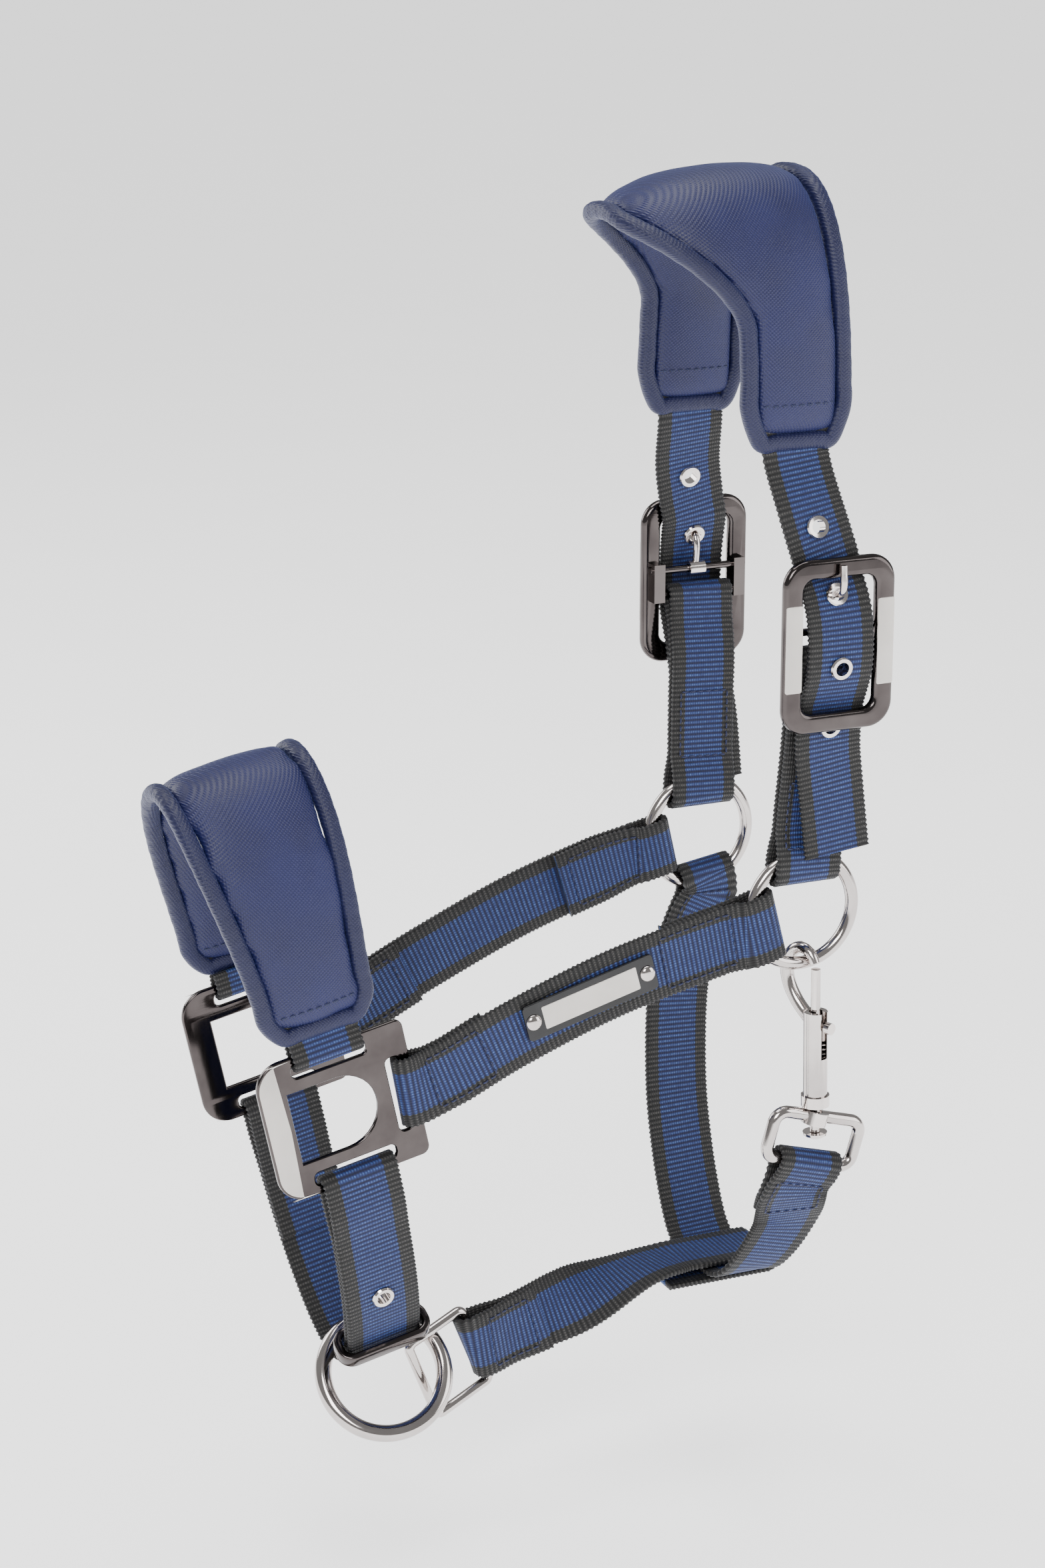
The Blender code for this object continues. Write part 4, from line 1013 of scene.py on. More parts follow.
def crown_web():
    path = crown_line()
    web = ribbon("crown_strap", "webbing", path, [X_AXIS] * len(path))
    along = tangents(path)
    for side, label in ((-1, "near"), (1, "far")):
        for spot in EYELET_NAMES:
            i = nearest(path, side, EYELET_HEIGHTS[spot])
            eyelet(web, f"{label}_{spot}_eyelet", path[i], along[i], X_AXIS)
CHAPE_RING_X = {"near": 0.0, "far": 0.0}
CHAPE_LINE = ((34.0, 40.9), (44.0, 41.8), (56.0, 42.8), (68.0, 43.6), (78.0, 46.0))

def chape(label, side, ring):
    """A web folded round the buckle's bar and the ring, its two layers stitched together."""
    out = Vector((0.0, side, 0.0))
    ring_mid = Vector((CHAPE_RING_X[label], ring.y, ring.z + RING_CHORD))
    bar_mid = Vector((BUCKLE_X, side * CHAPE_BAR[1], CHAPE_BAR[0]))
    line = [ring_mid]
    for height, distance in CHAPE_LINE:
        t = (height - ring_mid.z) / (bar_mid.z - ring_mid.z)
        line.append(Vector((ring_mid.x + t * (bar_mid.x - ring_mid.x), side * distance, height)))
    line = smooth([*line, bar_mid], 4.0)
    along = tangents(line)
    total = lengths(line)
    inner, outer = [], []
    bar_fold = BAR_RADIUS + GAP + WEB_THICK / 2 + 0.1
    for point, direction, run in list(zip(line, along, total))[1:-1]:
        normal = (out - direction * out.dot(direction)).normalized()
        left = total[-1] - run
        offset = PAIR + (RING_FOLD - PAIR) * ease(1 - (run - 4) / 12)
        offset += (bar_fold - PAIR) * ease(1 - left / 10)
        inner.append(point - normal * offset)
        outer.append(point + normal * offset)
    end = along[-1]
    end_out = (out - end * out.dot(end)).normalized()
    path = inner + fold(bar_mid, -end, end_out, bar_fold) + outer[::-1]
    path += fold(ring_mid, Z_AXIS, out, RING_FOLD)[::-1]
    ribbon(f"{label}_chape", "webbing", path, [X_AXIS] * len(path), closed=True)
CHEEK_LINES = {
    "near": ((-30.0, -9.0), (-72.0, -18.6), (-108.0, -31.0), (-132.0, -41.5)),
    "far": ((-34.0, -3.4), (-72.0, -15.0), (-108.0, -30.0), (-132.0, -41.5)),
}
CHEEK_TAILS = (42.0, 34.0)          # the folded ends' lengths, at the ring and at the plate
CHEEK_RING_WIDTH = {"near": WEB_WIDTH, "far": PINCHED_WIDTH}
CHEEK_RING_DROP = {"near": math.radians(14.5), "far": math.radians(13.0)}
PINCH_RUN = 26.0

def layer(line, out, first, last, tail_range=None, sign=1):
    """Points beside line: first and last are the offsets at its ends, PAIR is the one between."""
    total = lengths(line)
    found = []
    for point, run in zip(line, total):
        left = total[-1] - run
        offset = PAIR + (first - PAIR) * ease(1 - (run - 4) / 12) + (last - PAIR) * ease(1 - (left - 1) / 11)
        if tail_range is None or tail_range[0] <= run <= tail_range[1]:
            found.append(point + sign * out * offset)
    return found

def cheek(label, side, ring):
    """A web between a ring and a side plate, with both ends folded back on its inner face."""
    out = Vector((0.0, side, 0.0))
    end = face_point(BAR_U, -0.8, side * PLATE_OUT)
    points = [Vector((x, side * (PLATE_OUT + 1.2), z)) for x, z in CHEEK_LINES[label]]
    drop = CHEEK_RING_DROP[label]
    toward = Vector((-math.cos(drop), 0.0, -math.sin(drop)))
    chord = RING_CHORD if CHEEK_RING_WIDTH[label] == WEB_WIDTH else PINCHED_CHORD
    start = ring + toward * chord
    line = smooth([start, ring + toward * (chord + 8), *points, end + FACE_U * 6, end], 4.0)
    along = tangents(line)
    total = lengths(line)[-1]
    outer = layer(line, out, RING_FOLD, PLATE_FOLD)[1:-1]
    tail = layer(line, out, RING_FOLD, PLATE_FOLD, (0.1, CHEEK_TAILS[0]), -1)
    foot = layer(line, out, RING_FOLD, PLATE_FOLD, (total - CHEEK_TAILS[1], total - 0.1), -1)
    first = fold(start, toward, out, RING_FOLD)
    last = fold(end, -along[-1], out, PLATE_FOLD)
    path = tail[::-1] + first + outer + last[::-1] + foot[::-1]
    sides = [d.cross(out).normalized() for d in along]
    near_ends = (len(tail) + len(first), len(outer), len(last) + len(foot))
    across = [toward.cross(out)] * near_ends[0] + sides[1:-1] + [sides[-1]] * near_ends[2]
    for i, run in enumerate(lengths(line)[1:len(tail) + 1]):
        if i < len(tail):
            across[len(tail) - 1 - i] = sides[i + 1]
    for i in range(len(foot)):
        across[len(path) - 1 - i] = sides[len(line) - 1 - len(foot) + i]
    from_fold = [abs(run - lengths(path)[len(tail) + 4]) for run in lengths(path)]
    pinch = CHEEK_RING_WIDTH[label] - WEB_WIDTH
    widths = [WEB_WIDTH + pinch * ease(1 - (run - 9) / PINCH_RUN) for run in from_fold]
    ribbon(f"{label}_cheek_strap", "webbing", path, across, widths)

def nose_web():
    """Over the nose inside its pad, down through both top slots and turned up inside."""
    arch = [nose_arch(math.radians(a)) for a in range(-90, 91, 9)]

    def end(side):
        bar = face_point(-0.5, BAR_V, side * PLATE_OUT)
        out = Vector((0.0, side, 0.0))
        turn = fold(bar, FACE_V, out, PLATE_FOLD)
        return [turn[0] + FACE_V * 6.5, turn[0] + FACE_V * 3.0, *turn]

    near, far = end(-1), end(1)
    path = near + smooth(arch, 4.0) + far[::-1]
    ribbon("nose_strap", "webbing", path, [FACE_U] * len(path))

def chin_ref(angle):
    """The chin loop's middle line: angle +90 is at the near plate, -90 at the far one."""
    return face_point(CHIN_U, -BAR_V - CHIN_DROP * math.cos(angle), -PLATE_OUT * math.sin(angle))

def chin_layer(angles, offset_of):
    """Points beside the chin loop's middle line at these angles in degrees."""
    found = []
    for a in angles:
        here = math.radians(a)
        along = (chin_ref(here + 0.01) - chin_ref(here - 0.01)).normalized()
        out = FACE_U.cross(along).normalized()
        found.append(chin_ref(here) + out * offset_of(a))
    return found
KEEPER_ANGLE = 33.0
TAIL_END = 17.0

def chin_web():
    """From the far plate under the chin to the near plate's slot, and back outside as a free tail."""
    def single(a):
        far = (PLATE_FOLD - PAIR) * ease((-a - 72) / 12)
        near = (PLATE_FOLD - PAIR) * ease((a - 72) / 12)
        return PAIR + far - 2 * PAIR * ease((a + 30) / 40) - near

    far_bar = face_point(CHIN_U, -BAR_V, PLATE_OUT)
    near_bar = face_point(CHIN_U, -BAR_V, -PLATE_OUT)
    far_fold = fold(far_bar, -FACE_V, Y_AXIS, PLATE_FOLD)
    near_fold = fold(near_bar, -FACE_V, -Y_AXIS, PLATE_FOLD)
    steps = [85 - 3.4 * i for i in range(51)]
    far_tail = chin_layer([-a for a in steps[:10]], lambda a: single(a) - 2 * (single(a)))
    body = chin_layer([-a for a in steps], single)
    tail = chin_layer([a for a in steps if a > TAIL_END],
                      lambda a: PAIR + (PLATE_FOLD - PAIR) * ease((a - 72) / 12))
    path = far_tail[::-1] + far_fold + body + near_fold + tail
    web = ribbon("chin_strap", "webbing", path, [FACE_U] * len(path), CHIN_WIDTH)
    first = len(path) - len(tail)
    along = tangents(path)
    for spot, angle in (("upper", 53.0), ("lower", 24.0)):
        index = min(range(len(tail)), key=lambda i: abs(steps[i] - angle))
        chin_eyelet(web, f"chin_{spot}_eyelet", path[first + index], along[first + index])

def chin_eyelet(web, name, point, along):
    """An eyelet through the tail and the layer under it, long enough to hold both."""
    out = along.cross(FACE_U).normalized()
    if out.y > 0:
        out = -out
    middle = point - out * PAIR
    hole = cylinder(name + "_hole", middle - out * 7, middle + out * 7, EYELET_HOLE)
    boolean(web, hole, "DIFFERENCE")
    profile = [(r, h + math.copysign(PAIR, h)) for r, h in eyelet_profile()]
    side = (FACE_U - along * FACE_U.dot(along)).normalized()
    turned(name, "chrome", profile, basis(side, out.cross(side), out, middle))
THROAT_LINE = (
    (-2.0, 38.8, -33.0), (-8.0, 37.4, -56.0), (-10.0, 34.0, -90.0),
    (-9.5, 29.0, -116.0), (-8.5, 22.5, -136.0), (-8.0, 17.4, -144.0), (-8.0, 11.5, -146.0),
    (-8.0, 0.0, -146.0), (-8.0, -11.5, -146.0), (-6.5, -17.6, -143.6), (-2.5, -23.0, -136.0),
    (1.5, -30.0, -122.0),
)
THROAT_TAILS = (40.0, 26.0)
CONNECT_FOLD = 3.1

def throat_web():
    """From the far ring under the throat to the snap's eye, with both ends folded and stitched."""
    swing = math.radians(9.0)
    hang = Vector((math.sin(swing), 0.0, -math.cos(swing)))
    top_roll = Vector((math.cos(swing), 0.0, math.sin(swing)))
    eye_across = Vector((math.cos(EYE_ROLL), 0.0, -math.sin(EYE_ROLL)))
    bar = eye_point(0.0, -EYE_HALF[1])
    top = FAR_RING + hang * PINCHED_CHORD
    pull = Vector((-0.22, 0.30, -0.93)).normalized()
    eye_out = pull.cross(eye_across).normalized()
    if eye_out.y > 0:
        eye_out = -eye_out
    line = smooth([top, top + hang * 8.0, *THROAT_LINE, bar + pull * 13.0, bar], 4.0)
    along = tangents(line)
    run = lengths(line)
    total = run[-1]
    eye_fold = EYE_WIRE + GAP + WEB_THICK / 2 + 0.1
    across, outs = [], []
    for direction, here in zip(along, run):
        low = ease(here / 40)
        high = ease((here - total + 60) / 45)
        side = top_roll.lerp(X_AXIS, low).lerp(eye_across, high)
        side = (side - direction * side.dot(direction)).normalized()
        across.append(side)
        outs.append(direction.cross(side).normalized())
    flip = 1 if outs[0].y > 0 else -1

    def offset(here):
        left = total - here
        bend = (RING_FOLD - PAIR) * ease(1 - (here - 5) / 12) + (eye_fold - PAIR) * ease(1 - (left - 1) / 10)
        return PAIR + bend

    spots = list(zip(line, outs, across, run))
    main = [(p + flip * o * offset(r), s) for p, o, s, r in spots[1:-1]]
    tail = [(p - flip * o * offset(r), s) for p, o, s, r in spots[1:-1] if r < THROAT_TAILS[0]]
    foot = [(p - flip * o * offset(r), s) for p, o, s, r in spots[1:-1] if r > total - THROAT_TAILS[1]]
    first = [(p, top_roll) for p in fold(top, hang, flip * outs[0], RING_FOLD)]
    last = [(p, eye_across) for p in fold(bar, -along[-1], flip * outs[-1], eye_fold)]
    whole = tail[::-1] + first + main + last[::-1] + foot[::-1]
    path = [p for p, _ in whole]
    along_path = lengths(path)
    fold_run = along_path[len(tail) + len(first) // 2]
    pinch = PINCHED_WIDTH - WEB_WIDTH
    widths = [WEB_WIDTH + pinch * ease(1 - (abs(here - fold_run) - 9) / PINCH_RUN) for here in along_path]
    ribbon("throat_strap", "webbing", path, [s for _, s in whole], widths)
LINK_BAR = Vector((-111.0, -10.0, -158.5))
LINK_UP = Vector((-0.36, 0.0, 0.933)).normalized()
LINK_TOWARD = Vector((-0.92, -0.17, -0.355)).normalized()
LINK_WIRE = 1.9
LINK_HALF = 15.4
LINK_LENGTH = 24.0
CONNECT_LINE = ((-104.0, -9.4, -157.4), (-88.0, -8.0, -154.5), (-66.0, -5.5, -149.5),
                (-44.0, -2.5, -145.0), (-30.0, 0.0, -144.6))

def connecting_web():
    """From the link's rear bar, through a quarter twist, to its loop round the throat strap."""
    rear = Vector((-8.0 + WEB_WIDTH / 2 + 0.6, 0.0, -146.0 - PAIR))
    above = rear + Z_AXIS * CONNECT_FOLD
    line = smooth([LINK_BAR, *CONNECT_LINE, Vector((-22.0, 0.0, above.z)), above], 4.0)
    along = tangents(line)
    run = lengths(line)
    total = run[-1]
    link_fold = LINK_WIRE + GAP + WEB_THICK / 2 + 0.1
    spots = []
    for point, direction, here in zip(line, along, run):
        side = LINK_UP.lerp(Y_AXIS, ease((here - 8) / (total - 44)))
        side = (side - direction * side.dot(direction)).normalized()
        spots.append((point, side.cross(direction).normalized(), side, here))

    def offset(here):
        return link_fold * ease(1 - (here - 3) / 12) + PAIR * ease((here - 3) / 12) * ease((44 - here) / 10)

    main = [(p + o * offset(r), s) for p, o, s, r in spots[1:]]
    tail = [(p - o * offset(r), s) for p, o, s, r in spots[1:] if r < 30]
    first = [(p, LINK_UP) for p in fold(LINK_BAR, along[0], spots[0][1], link_fold)]
    last = [(p, Y_AXIS) for p in fold(rear, -X_AXIS, Z_AXIS, CONNECT_FOLD)]
    below = rear - Z_AXIS * CONNECT_FOLD
    foot = [(below - X_AXIS * 4.0 * i, Y_AXIS) for i in range(1, 11)]
    whole = tail[::-1] + first + main[:-1] + last[::-1] + foot
    ribbon("connecting_strap", "webbing", [p for p, _ in whole], [s for _, s in whole])

def plate_outlines():
    """The side plate's rim, its three slots and its window, round towards the tail."""
    half_u, half_v = PLATE_HALF
    rim = rounded_outline([(-half_u, -half_v, 9.5), (half_u, -half_v, 3.0),
                           (half_u, half_v, 3.0), (-half_u, half_v, 9.5)])
    long_side, short_side = SLOT_HALF_LENGTH, SLOT_HALF_WIDTH
    slots = [rectangle(long_side, short_side, 2.0, -0.5, SLOT_V),
             rectangle(long_side + 1.3, short_side, 2.0, CHIN_U, -SLOT_V),
             rectangle(short_side, long_side, 2.0, SLOT_U, -0.8)]
    left, middle, half = WINDOW
    arc = [math.radians(-90 + 12 * i) for i in range(16)]
    window = [(left, half), (left, -half)]
    window += [(middle + half * math.cos(a), half * math.sin(a)) for a in arc]
    return [rim, *slots, window]
TONGUE_LINE = ((104.2, 50.4), (108.4, 50.2), (111.4, 51.0), (112.8, 53.2), (113.6, 56.2), (115.8, 58.4),
               (119.0, 58.6), (123.6, 58.3))
TONGUE_X = 2.9

def tongue(label, side):
    """A barrel round the pin with a wire that comes out through the eyelet and lies over the top bar."""
    name = f"{label}_tongue"
    centre = Vector((TONGUE_X, side * TONGUE_BAR[1], TONGUE_BAR[0]))
    half = X_AXIS * 3.0
    barrel = place(cylinder(name, centre - half, centre + half, 2.8, 20), name, "chrome")
    points = [Vector((TONGUE_X, side * out, z)) for z, out in TONGUE_LINE]
    points = smooth([Vector((TONGUE_X, side * 50.7, 102.4)), *points], 1.4)
    radii = [1.0 if i < len(points) - 3 else 0.9 for i in range(len(points))]
    boolean(barrel, wire(name + "_wire", points, 1.3, radii=radii, turns=2), "UNION")
    boolean(barrel, cylinder(name + "_bore", centre - half * 2, centre + half * 2, BAR_RADIUS + 0.25, 20),
            "DIFFERENCE")

def rings():
    torus("near_ring", "chrome", NEAR_RING, Y_AXIS, RING_RADIUS, RING_WIRE)
    torus("far_ring", "chrome", FAR_RING, Y_AXIS, RING_RADIUS, RING_WIRE)
    lead_top = face_point(CHIN_U, -BAR_V - CHIN_DROP + WEB_THICK / 2 + 5.5 + LEAD_WIRE, 2.5)
    down = -FACE_V * math.cos(LEAD_TILT) - Y_AXIS * math.sin(LEAD_TILT)
    torus("lead_ring", "chrome", lead_top + down * LEAD_RADIUS, FACE_U.cross(down),
                 LEAD_RADIUS, LEAD_WIRE)

def link():
    """The wire rectangle that joins the lead ring to the connecting strap."""
    corners = []
    middle = LINK_TOWARD * LINK_LENGTH / 2
    for along, up in rectangle(LINK_LENGTH / 2, LINK_HALF, 2.4):
        corners.append(LINK_BAR + middle + LINK_TOWARD * along + LINK_UP * up)
    place(wire("link_loop", corners, LINK_WIRE - 0.12, closed=True, turns=3), "link_loop", "chrome")

def keeper():
    """The flat oval band that holds the chin strap's tail down."""
    here = math.radians(KEEPER_ANGLE)
    along = (chin_ref(here - 0.01) - chin_ref(here + 0.01)).normalized()
    matrix = basis(FACE_U, along.cross(FACE_U), along, chin_ref(here))
    outlines = [rectangle(17.4, 6.6, 5.6), rectangle(14.6, 4.0, 3.0)]
    place(flat_part("chin_keeper", outlines, 6.0, 0.8, matrix), "chin_keeper", "gunmetal")
NAMEPLATE = ((-82.0, -21.6), 25.0, 6.6)

def eye_point(along, up):
    """A point on the snap eye's middle rectangle."""
    cos, sin = math.cos(EYE_ROLL), math.sin(EYE_ROLL)
    return EYE_CENTRE + Vector((along * cos + up * sin, 0.0, -along * sin + up * cos))

def snap_point(side, height):
    """A point in the hook's plane: side is away from the snap's axis towards the hook's back."""
    lean = (height + 75.0) * -0.02
    return Vector((SNAP_AXIS_X + lean, SNAP_AXIS_Y, height)) + HOOK_DIRECTION * side
SPRING = (-60.9, -50.7)             # the coil's fixed and free ends
HOOK_LINE = ((0.6, -43.5), (4.2, -40.6), (8.4, -36.8), (12.0, -31.5), (13.3, -25.5), (11.4, -19.5),
             (7.0, -16.4), (2.6, -17.6), (0.4, -21.0))
BARREL = (-70.0, -38.5, 4.3)
COLLAR = (-73.6, -70.2, 5.1)

def snap():
    """The hook with its hollow barrel, the plunger and spring in it, and the swivel rivet."""
    corners = [eye_point(a, u) for a, u in rectangle(*EYE_HALF, 4.5)]
    eye = place(wire("snap_eye", corners, EYE_WIRE, closed=True), "snap_eye", "chrome")
    top = eye_point(0.0, EYE_HALF[1])
    up = (eye_point(0.0, 10.0) - eye_point(0.0, 0.0)).normalized()
    swivel = snap_point(0.0, top.z)
    boolean(eye, cylinder("snap_eye_boss", swivel - up * 2.4, swivel + up * 2.4, 4.6, 24), "UNION")
    axis = (snap_point(0, -40) - snap_point(0, -70)).normalized()
    boolean(eye, cylinder("snap_eye_hole", swivel - axis * 8, swivel + axis * 8, 2.6), "DIFFERENCE")

    body = place(cylinder("snap_body", snap_point(0, BARREL[0]), snap_point(0, BARREL[1]), BARREL[2], 24),
                 "snap_body", "chrome")
    boolean(body, cylinder("snap_collar", snap_point(0, COLLAR[0]), snap_point(0, COLLAR[1] + 0.6),
                           COLLAR[2], 24), "UNION")
    boolean(body, cylinder("snap_stem", snap_point(0, COLLAR[0] - 9.8), snap_point(0, COLLAR[0] + 2),
                           1.8, 16), "UNION")
    line = smooth([snap_point(*p) for p in HOOK_LINE], 2.0)
    radii = [1.0 - 0.28 * ease((i / len(line) - 0.55) / 0.45) for i in range(len(line))]
    boolean(body, wire("snap_hook", line, 2.45, radii=radii, turns=3), "UNION")
    boolean(body, cylinder("snap_bore", snap_point(0, -62), snap_point(0, -22.4), 2.4), "DIFFERENCE")
    knob_side = -HOOK_DIRECTION
    slot_axes = basis(knob_side, axis.cross(knob_side), axis, snap_point(0, -48.5))
    slot = box("snap_slot", slot_axes, (0.0, -1.5, -7.0), (8.0, 1.5, 11.5))
    boolean(body, slot, "DIFFERENCE")

    plunger = place(cylinder("snap_plunger", snap_point(0, -50), snap_point(0, -22.9), 1.7, 16),
                    "snap_plunger", "chrome")
    base = snap_point(0, -43.4)
    boolean(plunger, cylinder("snap_knob_stem", base, base + knob_side * 6.2, 1.1, 12), "UNION")
    boolean(plunger, cylinder("snap_knob", base + knob_side * 5.2, base + knob_side * 7.4, 2.1, 16),
            "UNION")
    coil = []
    for i in range(61):
        turn = 2 * math.pi * i / 10
        round_axis = HOOK_DIRECTION * math.cos(turn) + axis.cross(HOOK_DIRECTION) * math.sin(turn)
        coil.append(snap_point(0, SPRING[0] + i / 60 * (SPRING[1] - SPRING[0])) + round_axis * 1.65)
    place(wire("snap_spring", coil, 0.3, turns=0), "snap_spring", "spring_steel")

    foot = snap_point(0, COLLAR[0] - 9.8)
    head = [(0.0, -2.2), (2.6, -2.0), (4.2, -1.0), (4.4, 0.0), (0.0, 0.0)]
    turned("snap_rivet", "chrome", head, facing(axis, foot - axis * 0.3), 20)

# ---------------------------------------------------------------- plates, buckles and nameplate

def satin_panel(name, outline, height, matrix):
    """A thin brushed panel let into a fitting's face."""
    panel = flat_part(name, [outline], 0.5, 0.12, matrix @ Matrix.Translation((0, 0, height * MM)))
    place(panel, name, "satin", "collar", 40.0)


def side_plate(label, side):
    up = Vector((0.0, side, 0.0))
    matrix = basis(FACE_U, up.cross(FACE_U), up, face_point(0, 0, side * PLATE_OUT))
    mirrored = [[(u, v * -side) for u, v in outline] for outline in plate_outlines()]
    outlines = [o if side < 0 else o[::-1] for o in mirrored]
    place(flat_part(f"{label}_side_plate", outlines, PLATE_THICK, 0.55, matrix),
          f"{label}_side_plate", "gunmetal")
    half_u, half_v = PLATE_HALF
    strip = rounded_outline([(-half_u + 0.7, -half_v + 0.8, 8.8), (-19.6, -half_v + 0.8, 0.4),
                             (-18.6, 0.0, 30.0), (-19.6, half_v - 0.8, 0.4),
                             (-half_u + 0.7, half_v - 0.8, 8.8)])
    satin_panel(f"{label}_plate_panel", strip, PLATE_THICK / 2 - 0.08, matrix)


def buckle(label, side):
    """A domed frame, the chape's bar, the tongue's pin and the tongue."""
    up = Vector((0.0, side, 0.0))
    matrix = basis(X_AXIS, up.cross(X_AXIS), up, (BUCKLE_X, side * BUCKLE_OUT, BUCKLE_MID))
    outlines = [rectangle(BUCKLE_HALF_WIDTH, BUCKLE_HALF_HEIGHT, 9.0), rectangle(*BUCKLE_OPENING, 4.0)]
    name = f"{label}_buckle_frame"
    frame_part = flat_part(name, outlines, 4.0, 1.7, matrix)
    place(frame_part, name, "gunmetal")
    lug_low, lug_high = CHAPE_BAR[0] - BUCKLE_MID - 2.6, TONGUE_BAR[0] - BUCKLE_MID + 2.6
    for end in (-1, 1):
        inner, outer = BUCKLE_OPENING[0] + 0.1, BUCKLE_OPENING[0] + 4.4
        spans = sorted((end * inner, end * outer))
        heights = sorted((-side * lug_low, -side * lug_high))
        lug = box(f"{name}_lug_{end + 1}", matrix, (spans[0], heights[0], -5.6), (spans[1], heights[1], 0.0))
        boolean(frame_part, lug, "UNION")
    ends = [Vector((BUCKLE_X + s * (BUCKLE_OPENING[0] + 2.0), side * CHAPE_BAR[1], CHAPE_BAR[0]))
            for s in (-1, 1)]
    boolean(frame_part, cylinder(f"{name}_bar", *ends, BAR_RADIUS, 32), "UNION")
    for end, label_x in ((-1, "front"), (1, "rear")):
        outline = rectangle(3.1, 15.0, 0.8, end * 17.4, 0.0)
        satin_panel(f"{label}_buckle_{label_x}_panel", outline, 1.86, matrix)
    reach = BUCKLE_OPENING[0] + 5.2
    ends = [Vector((BUCKLE_X + s * reach, side * TONGUE_BAR[1], TONGUE_BAR[0])) for s in (-1, 1)]
    pin_name = f"{label}_tongue_pin"
    place(cylinder(pin_name, *ends, BAR_RADIUS, 32), pin_name, "gunmetal")
    tongue(label, side)


NAMEPLATE = ((-82.0, -21.6), 25.0, 6.6)


def nameplate():
    """A blank lacquered plate on the near cheek strap, with a satin panel and two rivets."""
    (x, z), half_length, half_height = NAMEPLATE
    slope = math.radians(15.0)
    along = Vector((math.cos(slope), 0.0, math.sin(slope)))
    surface = PLATE_OUT + 1.2 + PAIR + WEB_THICK / 2 + GAP
    matrix = basis(along, (-Y_AXIS).cross(along), -Y_AXIS, (x, -surface - 0.6, z))
    place(flat_part("nameplate", [rectangle(half_length, half_height, 1.6)], 1.2, 0.3, matrix),
          "nameplate", "black_plate")
    satin_panel("nameplate_panel", rectangle(18.2, 4.2, 0.5), 0.5, matrix)
    head = [(0.0, 1.4), (1.0, 1.32), (1.8, 1.1), (2.4, 0.75), (2.8, 0.3), (2.9, 0.0), (0.0, 0.0)]
    for label, offset in (("front", -22.0), ("rear", 22.0)):
        spot = Vector((x, -surface - 1.2 - 0.15, z)) + along * offset
        turned(f"nameplate_{label}_rivet", "chrome", head,
               basis(along, (-Y_AXIS).cross(along), -Y_AXIS, spot))


# ---------------------------------------------------------------- studio

CAMERA_AZIMUTH = math.radians(-24.0)
CAMERA_ELEVATION = math.radians(16.5)
CAMERA_DISTANCE = 1.25
CAMERA_TARGET = Vector((-0.070, 0.041, -0.213))
LENS = 80.4
FLOOR_DROP = 0.035                  # the collar hangs this far above the floor
SOFTBOXES = (                       # name, place from the collar's middle, size, watts
    ("key", (-0.9, -1.3, 1.1), (0.9, 0.9), 26.0),
    ("fill", (1.3, -1.0, 0.5), (1.0, 1.2), 14.0),
    ("top", (0.0, 0.3, 1.6), (1.4, 1.0), 22.0),
    ("rear", (-0.8, 1.4, 0.6), (0.8, 1.0), 12.0),
)


def aim(obj, target):
    obj.rotation_mode = "QUATERNION"
    obj.rotation_quaternion = (target - obj.location).to_track_quat("-Z", "Y")


def camera():
    made = bpy.data.objects.new("camera", bpy.data.cameras.new("camera"))
    SCENE.collection.objects.link(made)
    back = Vector((math.sin(CAMERA_AZIMUTH) * math.cos(CAMERA_ELEVATION),
                   -math.cos(CAMERA_AZIMUTH) * math.cos(CAMERA_ELEVATION), math.sin(CAMERA_ELEVATION)))
    made.location = CAMERA_TARGET + back * CAMERA_DISTANCE
    made.data.lens = LENS
    aim(made, CAMERA_TARGET)
    SCENE.camera = made


def softbox(name, place_at, size, power, target):
    light = bpy.data.lights.new(name, "AREA")
    light.shape = "RECTANGLE"
    light.size, light.size_y = size
    light.energy = power
    obj = bpy.data.objects.new(name, light)
    obj.location = place_at
    SCENE.collection.objects.link(obj)
    aim(obj, target)


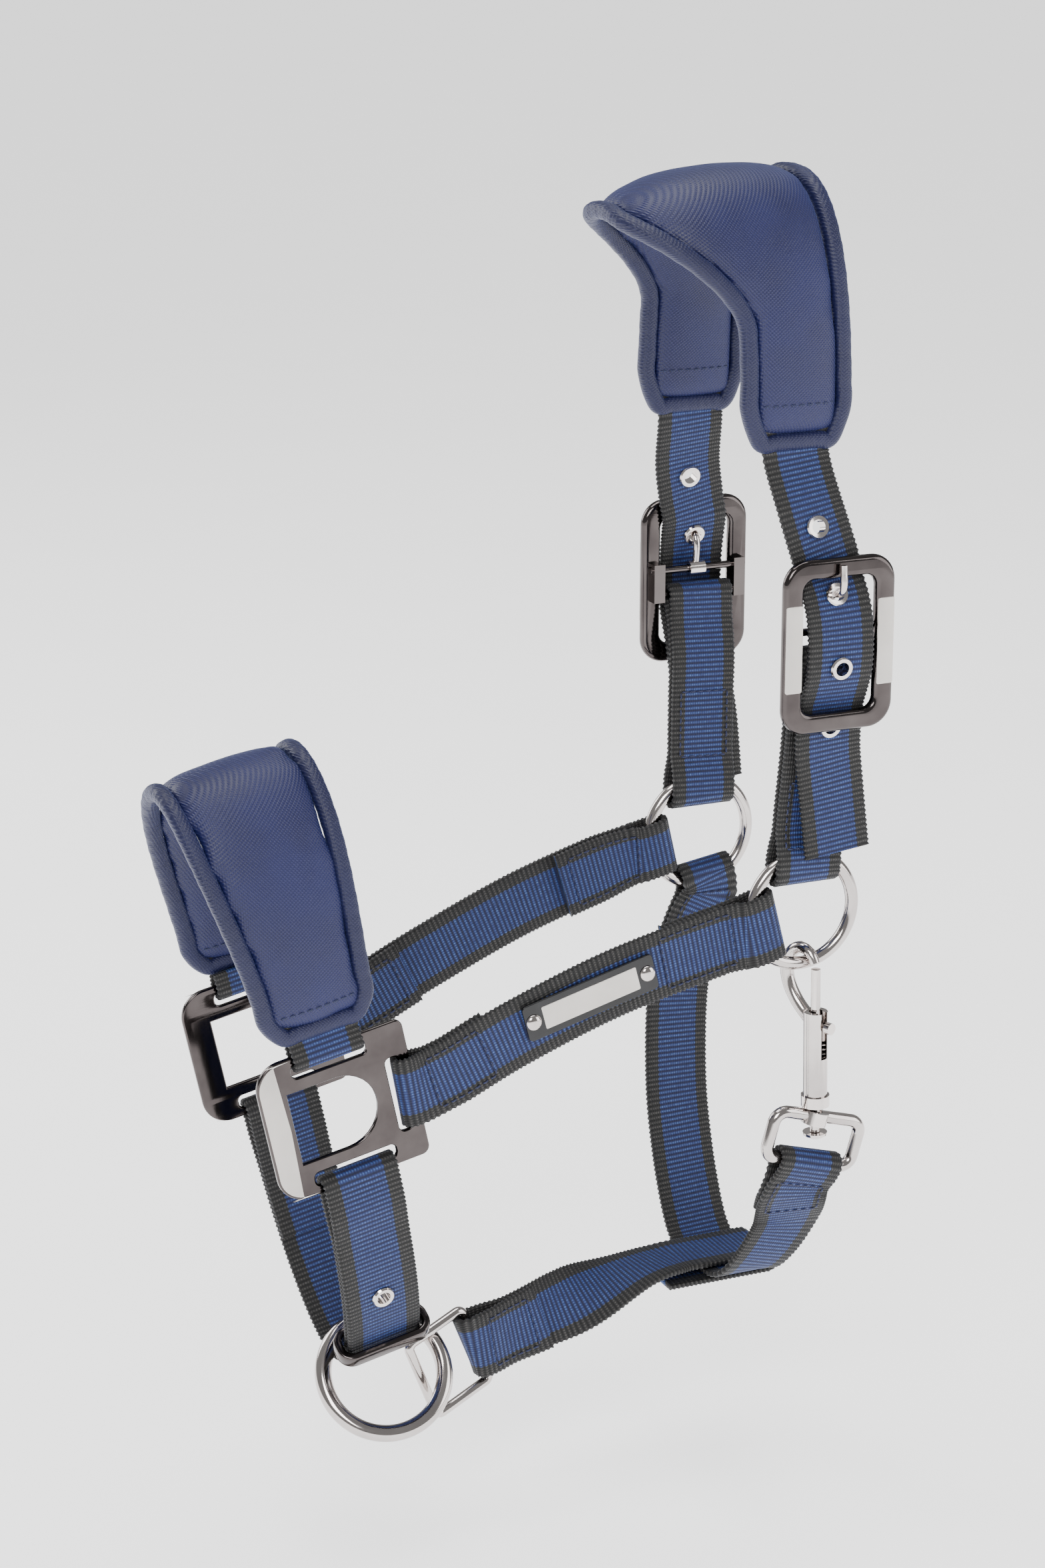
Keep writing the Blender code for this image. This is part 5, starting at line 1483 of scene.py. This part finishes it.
def studio():
    low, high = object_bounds()
    middle = (low + high) / 2
    bpy.ops.mesh.primitive_plane_add(size=30.0, location=(middle.x, middle.y, low.z - FLOOR_DROP))
    floor = bpy.context.active_object
    floor.name = "floor"
    made, tree, shader = blank("pale_floor")
    tone = ramp(tree, noise(tree, 6.0), [(0.3, (0.86, 0.86, 0.86)), (0.7, (0.90, 0.90, 0.90))])
    tree.links.new(tone, shader.inputs["Base Color"])
    shader.inputs["Roughness"].default_value = 0.9
    shader.inputs["Emission Color"].default_value = (1.0, 1.0, 1.0, 1.0)
    shader.inputs["Emission Strength"].default_value = 1.3
    floor.data.materials.append(made)
    floor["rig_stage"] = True
    for name, offset, size, power in SOFTBOXES:
        softbox(name, middle + Vector(offset), size, power, middle)
    world_made = bpy.data.worlds.new("studio")
    world_made.use_nodes = True
    world_made.node_tree.nodes["Background"].inputs[0].default_value = (1.0, 1.0, 1.0, 1.0)
    world_made.node_tree.nodes["Background"].inputs[1].default_value = 0.32
    SCENE.world = world_made


def seams():
    """The rows of stitches that hold the webs' folded ends."""
    for label, side in (("near", -1), ("far", 1)):
        strap = f"{label}_cheek_strap"
        web_seam(f"{label}_cheek_ring_stitches", strap, 64.0, 27.0, -1)
        web_seam(f"{label}_cheek_ring_inner_stitches", strap, 4.0, 27.0, -1)
        web_seam(f"{label}_cheek_plate_stitches", strap, -73.0, 21.0, -1)
        web_seam(f"{label}_cheek_plate_inner_stitches", strap, -25.0, 21.0, -1)
        web_seam(f"{label}_chape_stitches", f"{label}_chape", -50.0, 24.0, -side)
        web_seam(f"{label}_chape_inner_stitches", f"{label}_chape", 10.0, 24.0, -side)
    web_seam("throat_ring_stitches", "throat_strap", 62.0, 25.0, -1)
    web_seam("throat_ring_inner_stitches", "throat_strap", 4.0, 26.0, -1)
    web_seam("throat_snap_stitches", "throat_strap", -60.0, 16.0, -1)
    web_seam("throat_snap_inner_stitches", "throat_strap", -22.0, 16.0, -1)
    web_seam("connecting_link_stitches", "connecting_strap", 48.0, 18.0, -1)
    web_seam("connecting_link_inner_stitches", "connecting_strap", 4.0, 18.0, -1)
    web_seam("connecting_loop_stitches", "connecting_strap", -36.0, 22.0, 1)


def main():
    camera()
    pads()
    crown_web()
    nose_web()
    chin_web()
    throat_web()
    connecting_web()
    for label, side, ring in (("near", -1, NEAR_RING), ("far", 1, FAR_RING)):
        buckle(label, side)
        chape(label, side, ring)
        cheek(label, side, ring)
        side_plate(label, side)
    rings()
    link()
    keeper()
    nameplate()
    snap()
    seams()
    for made in PIECES:
        settle(*made)
    for obj in [o for o in bpy.data.objects if o.name.startswith("cutter")]:
        bpy.data.objects.remove(obj, do_unlink=True)
    studio()


main()
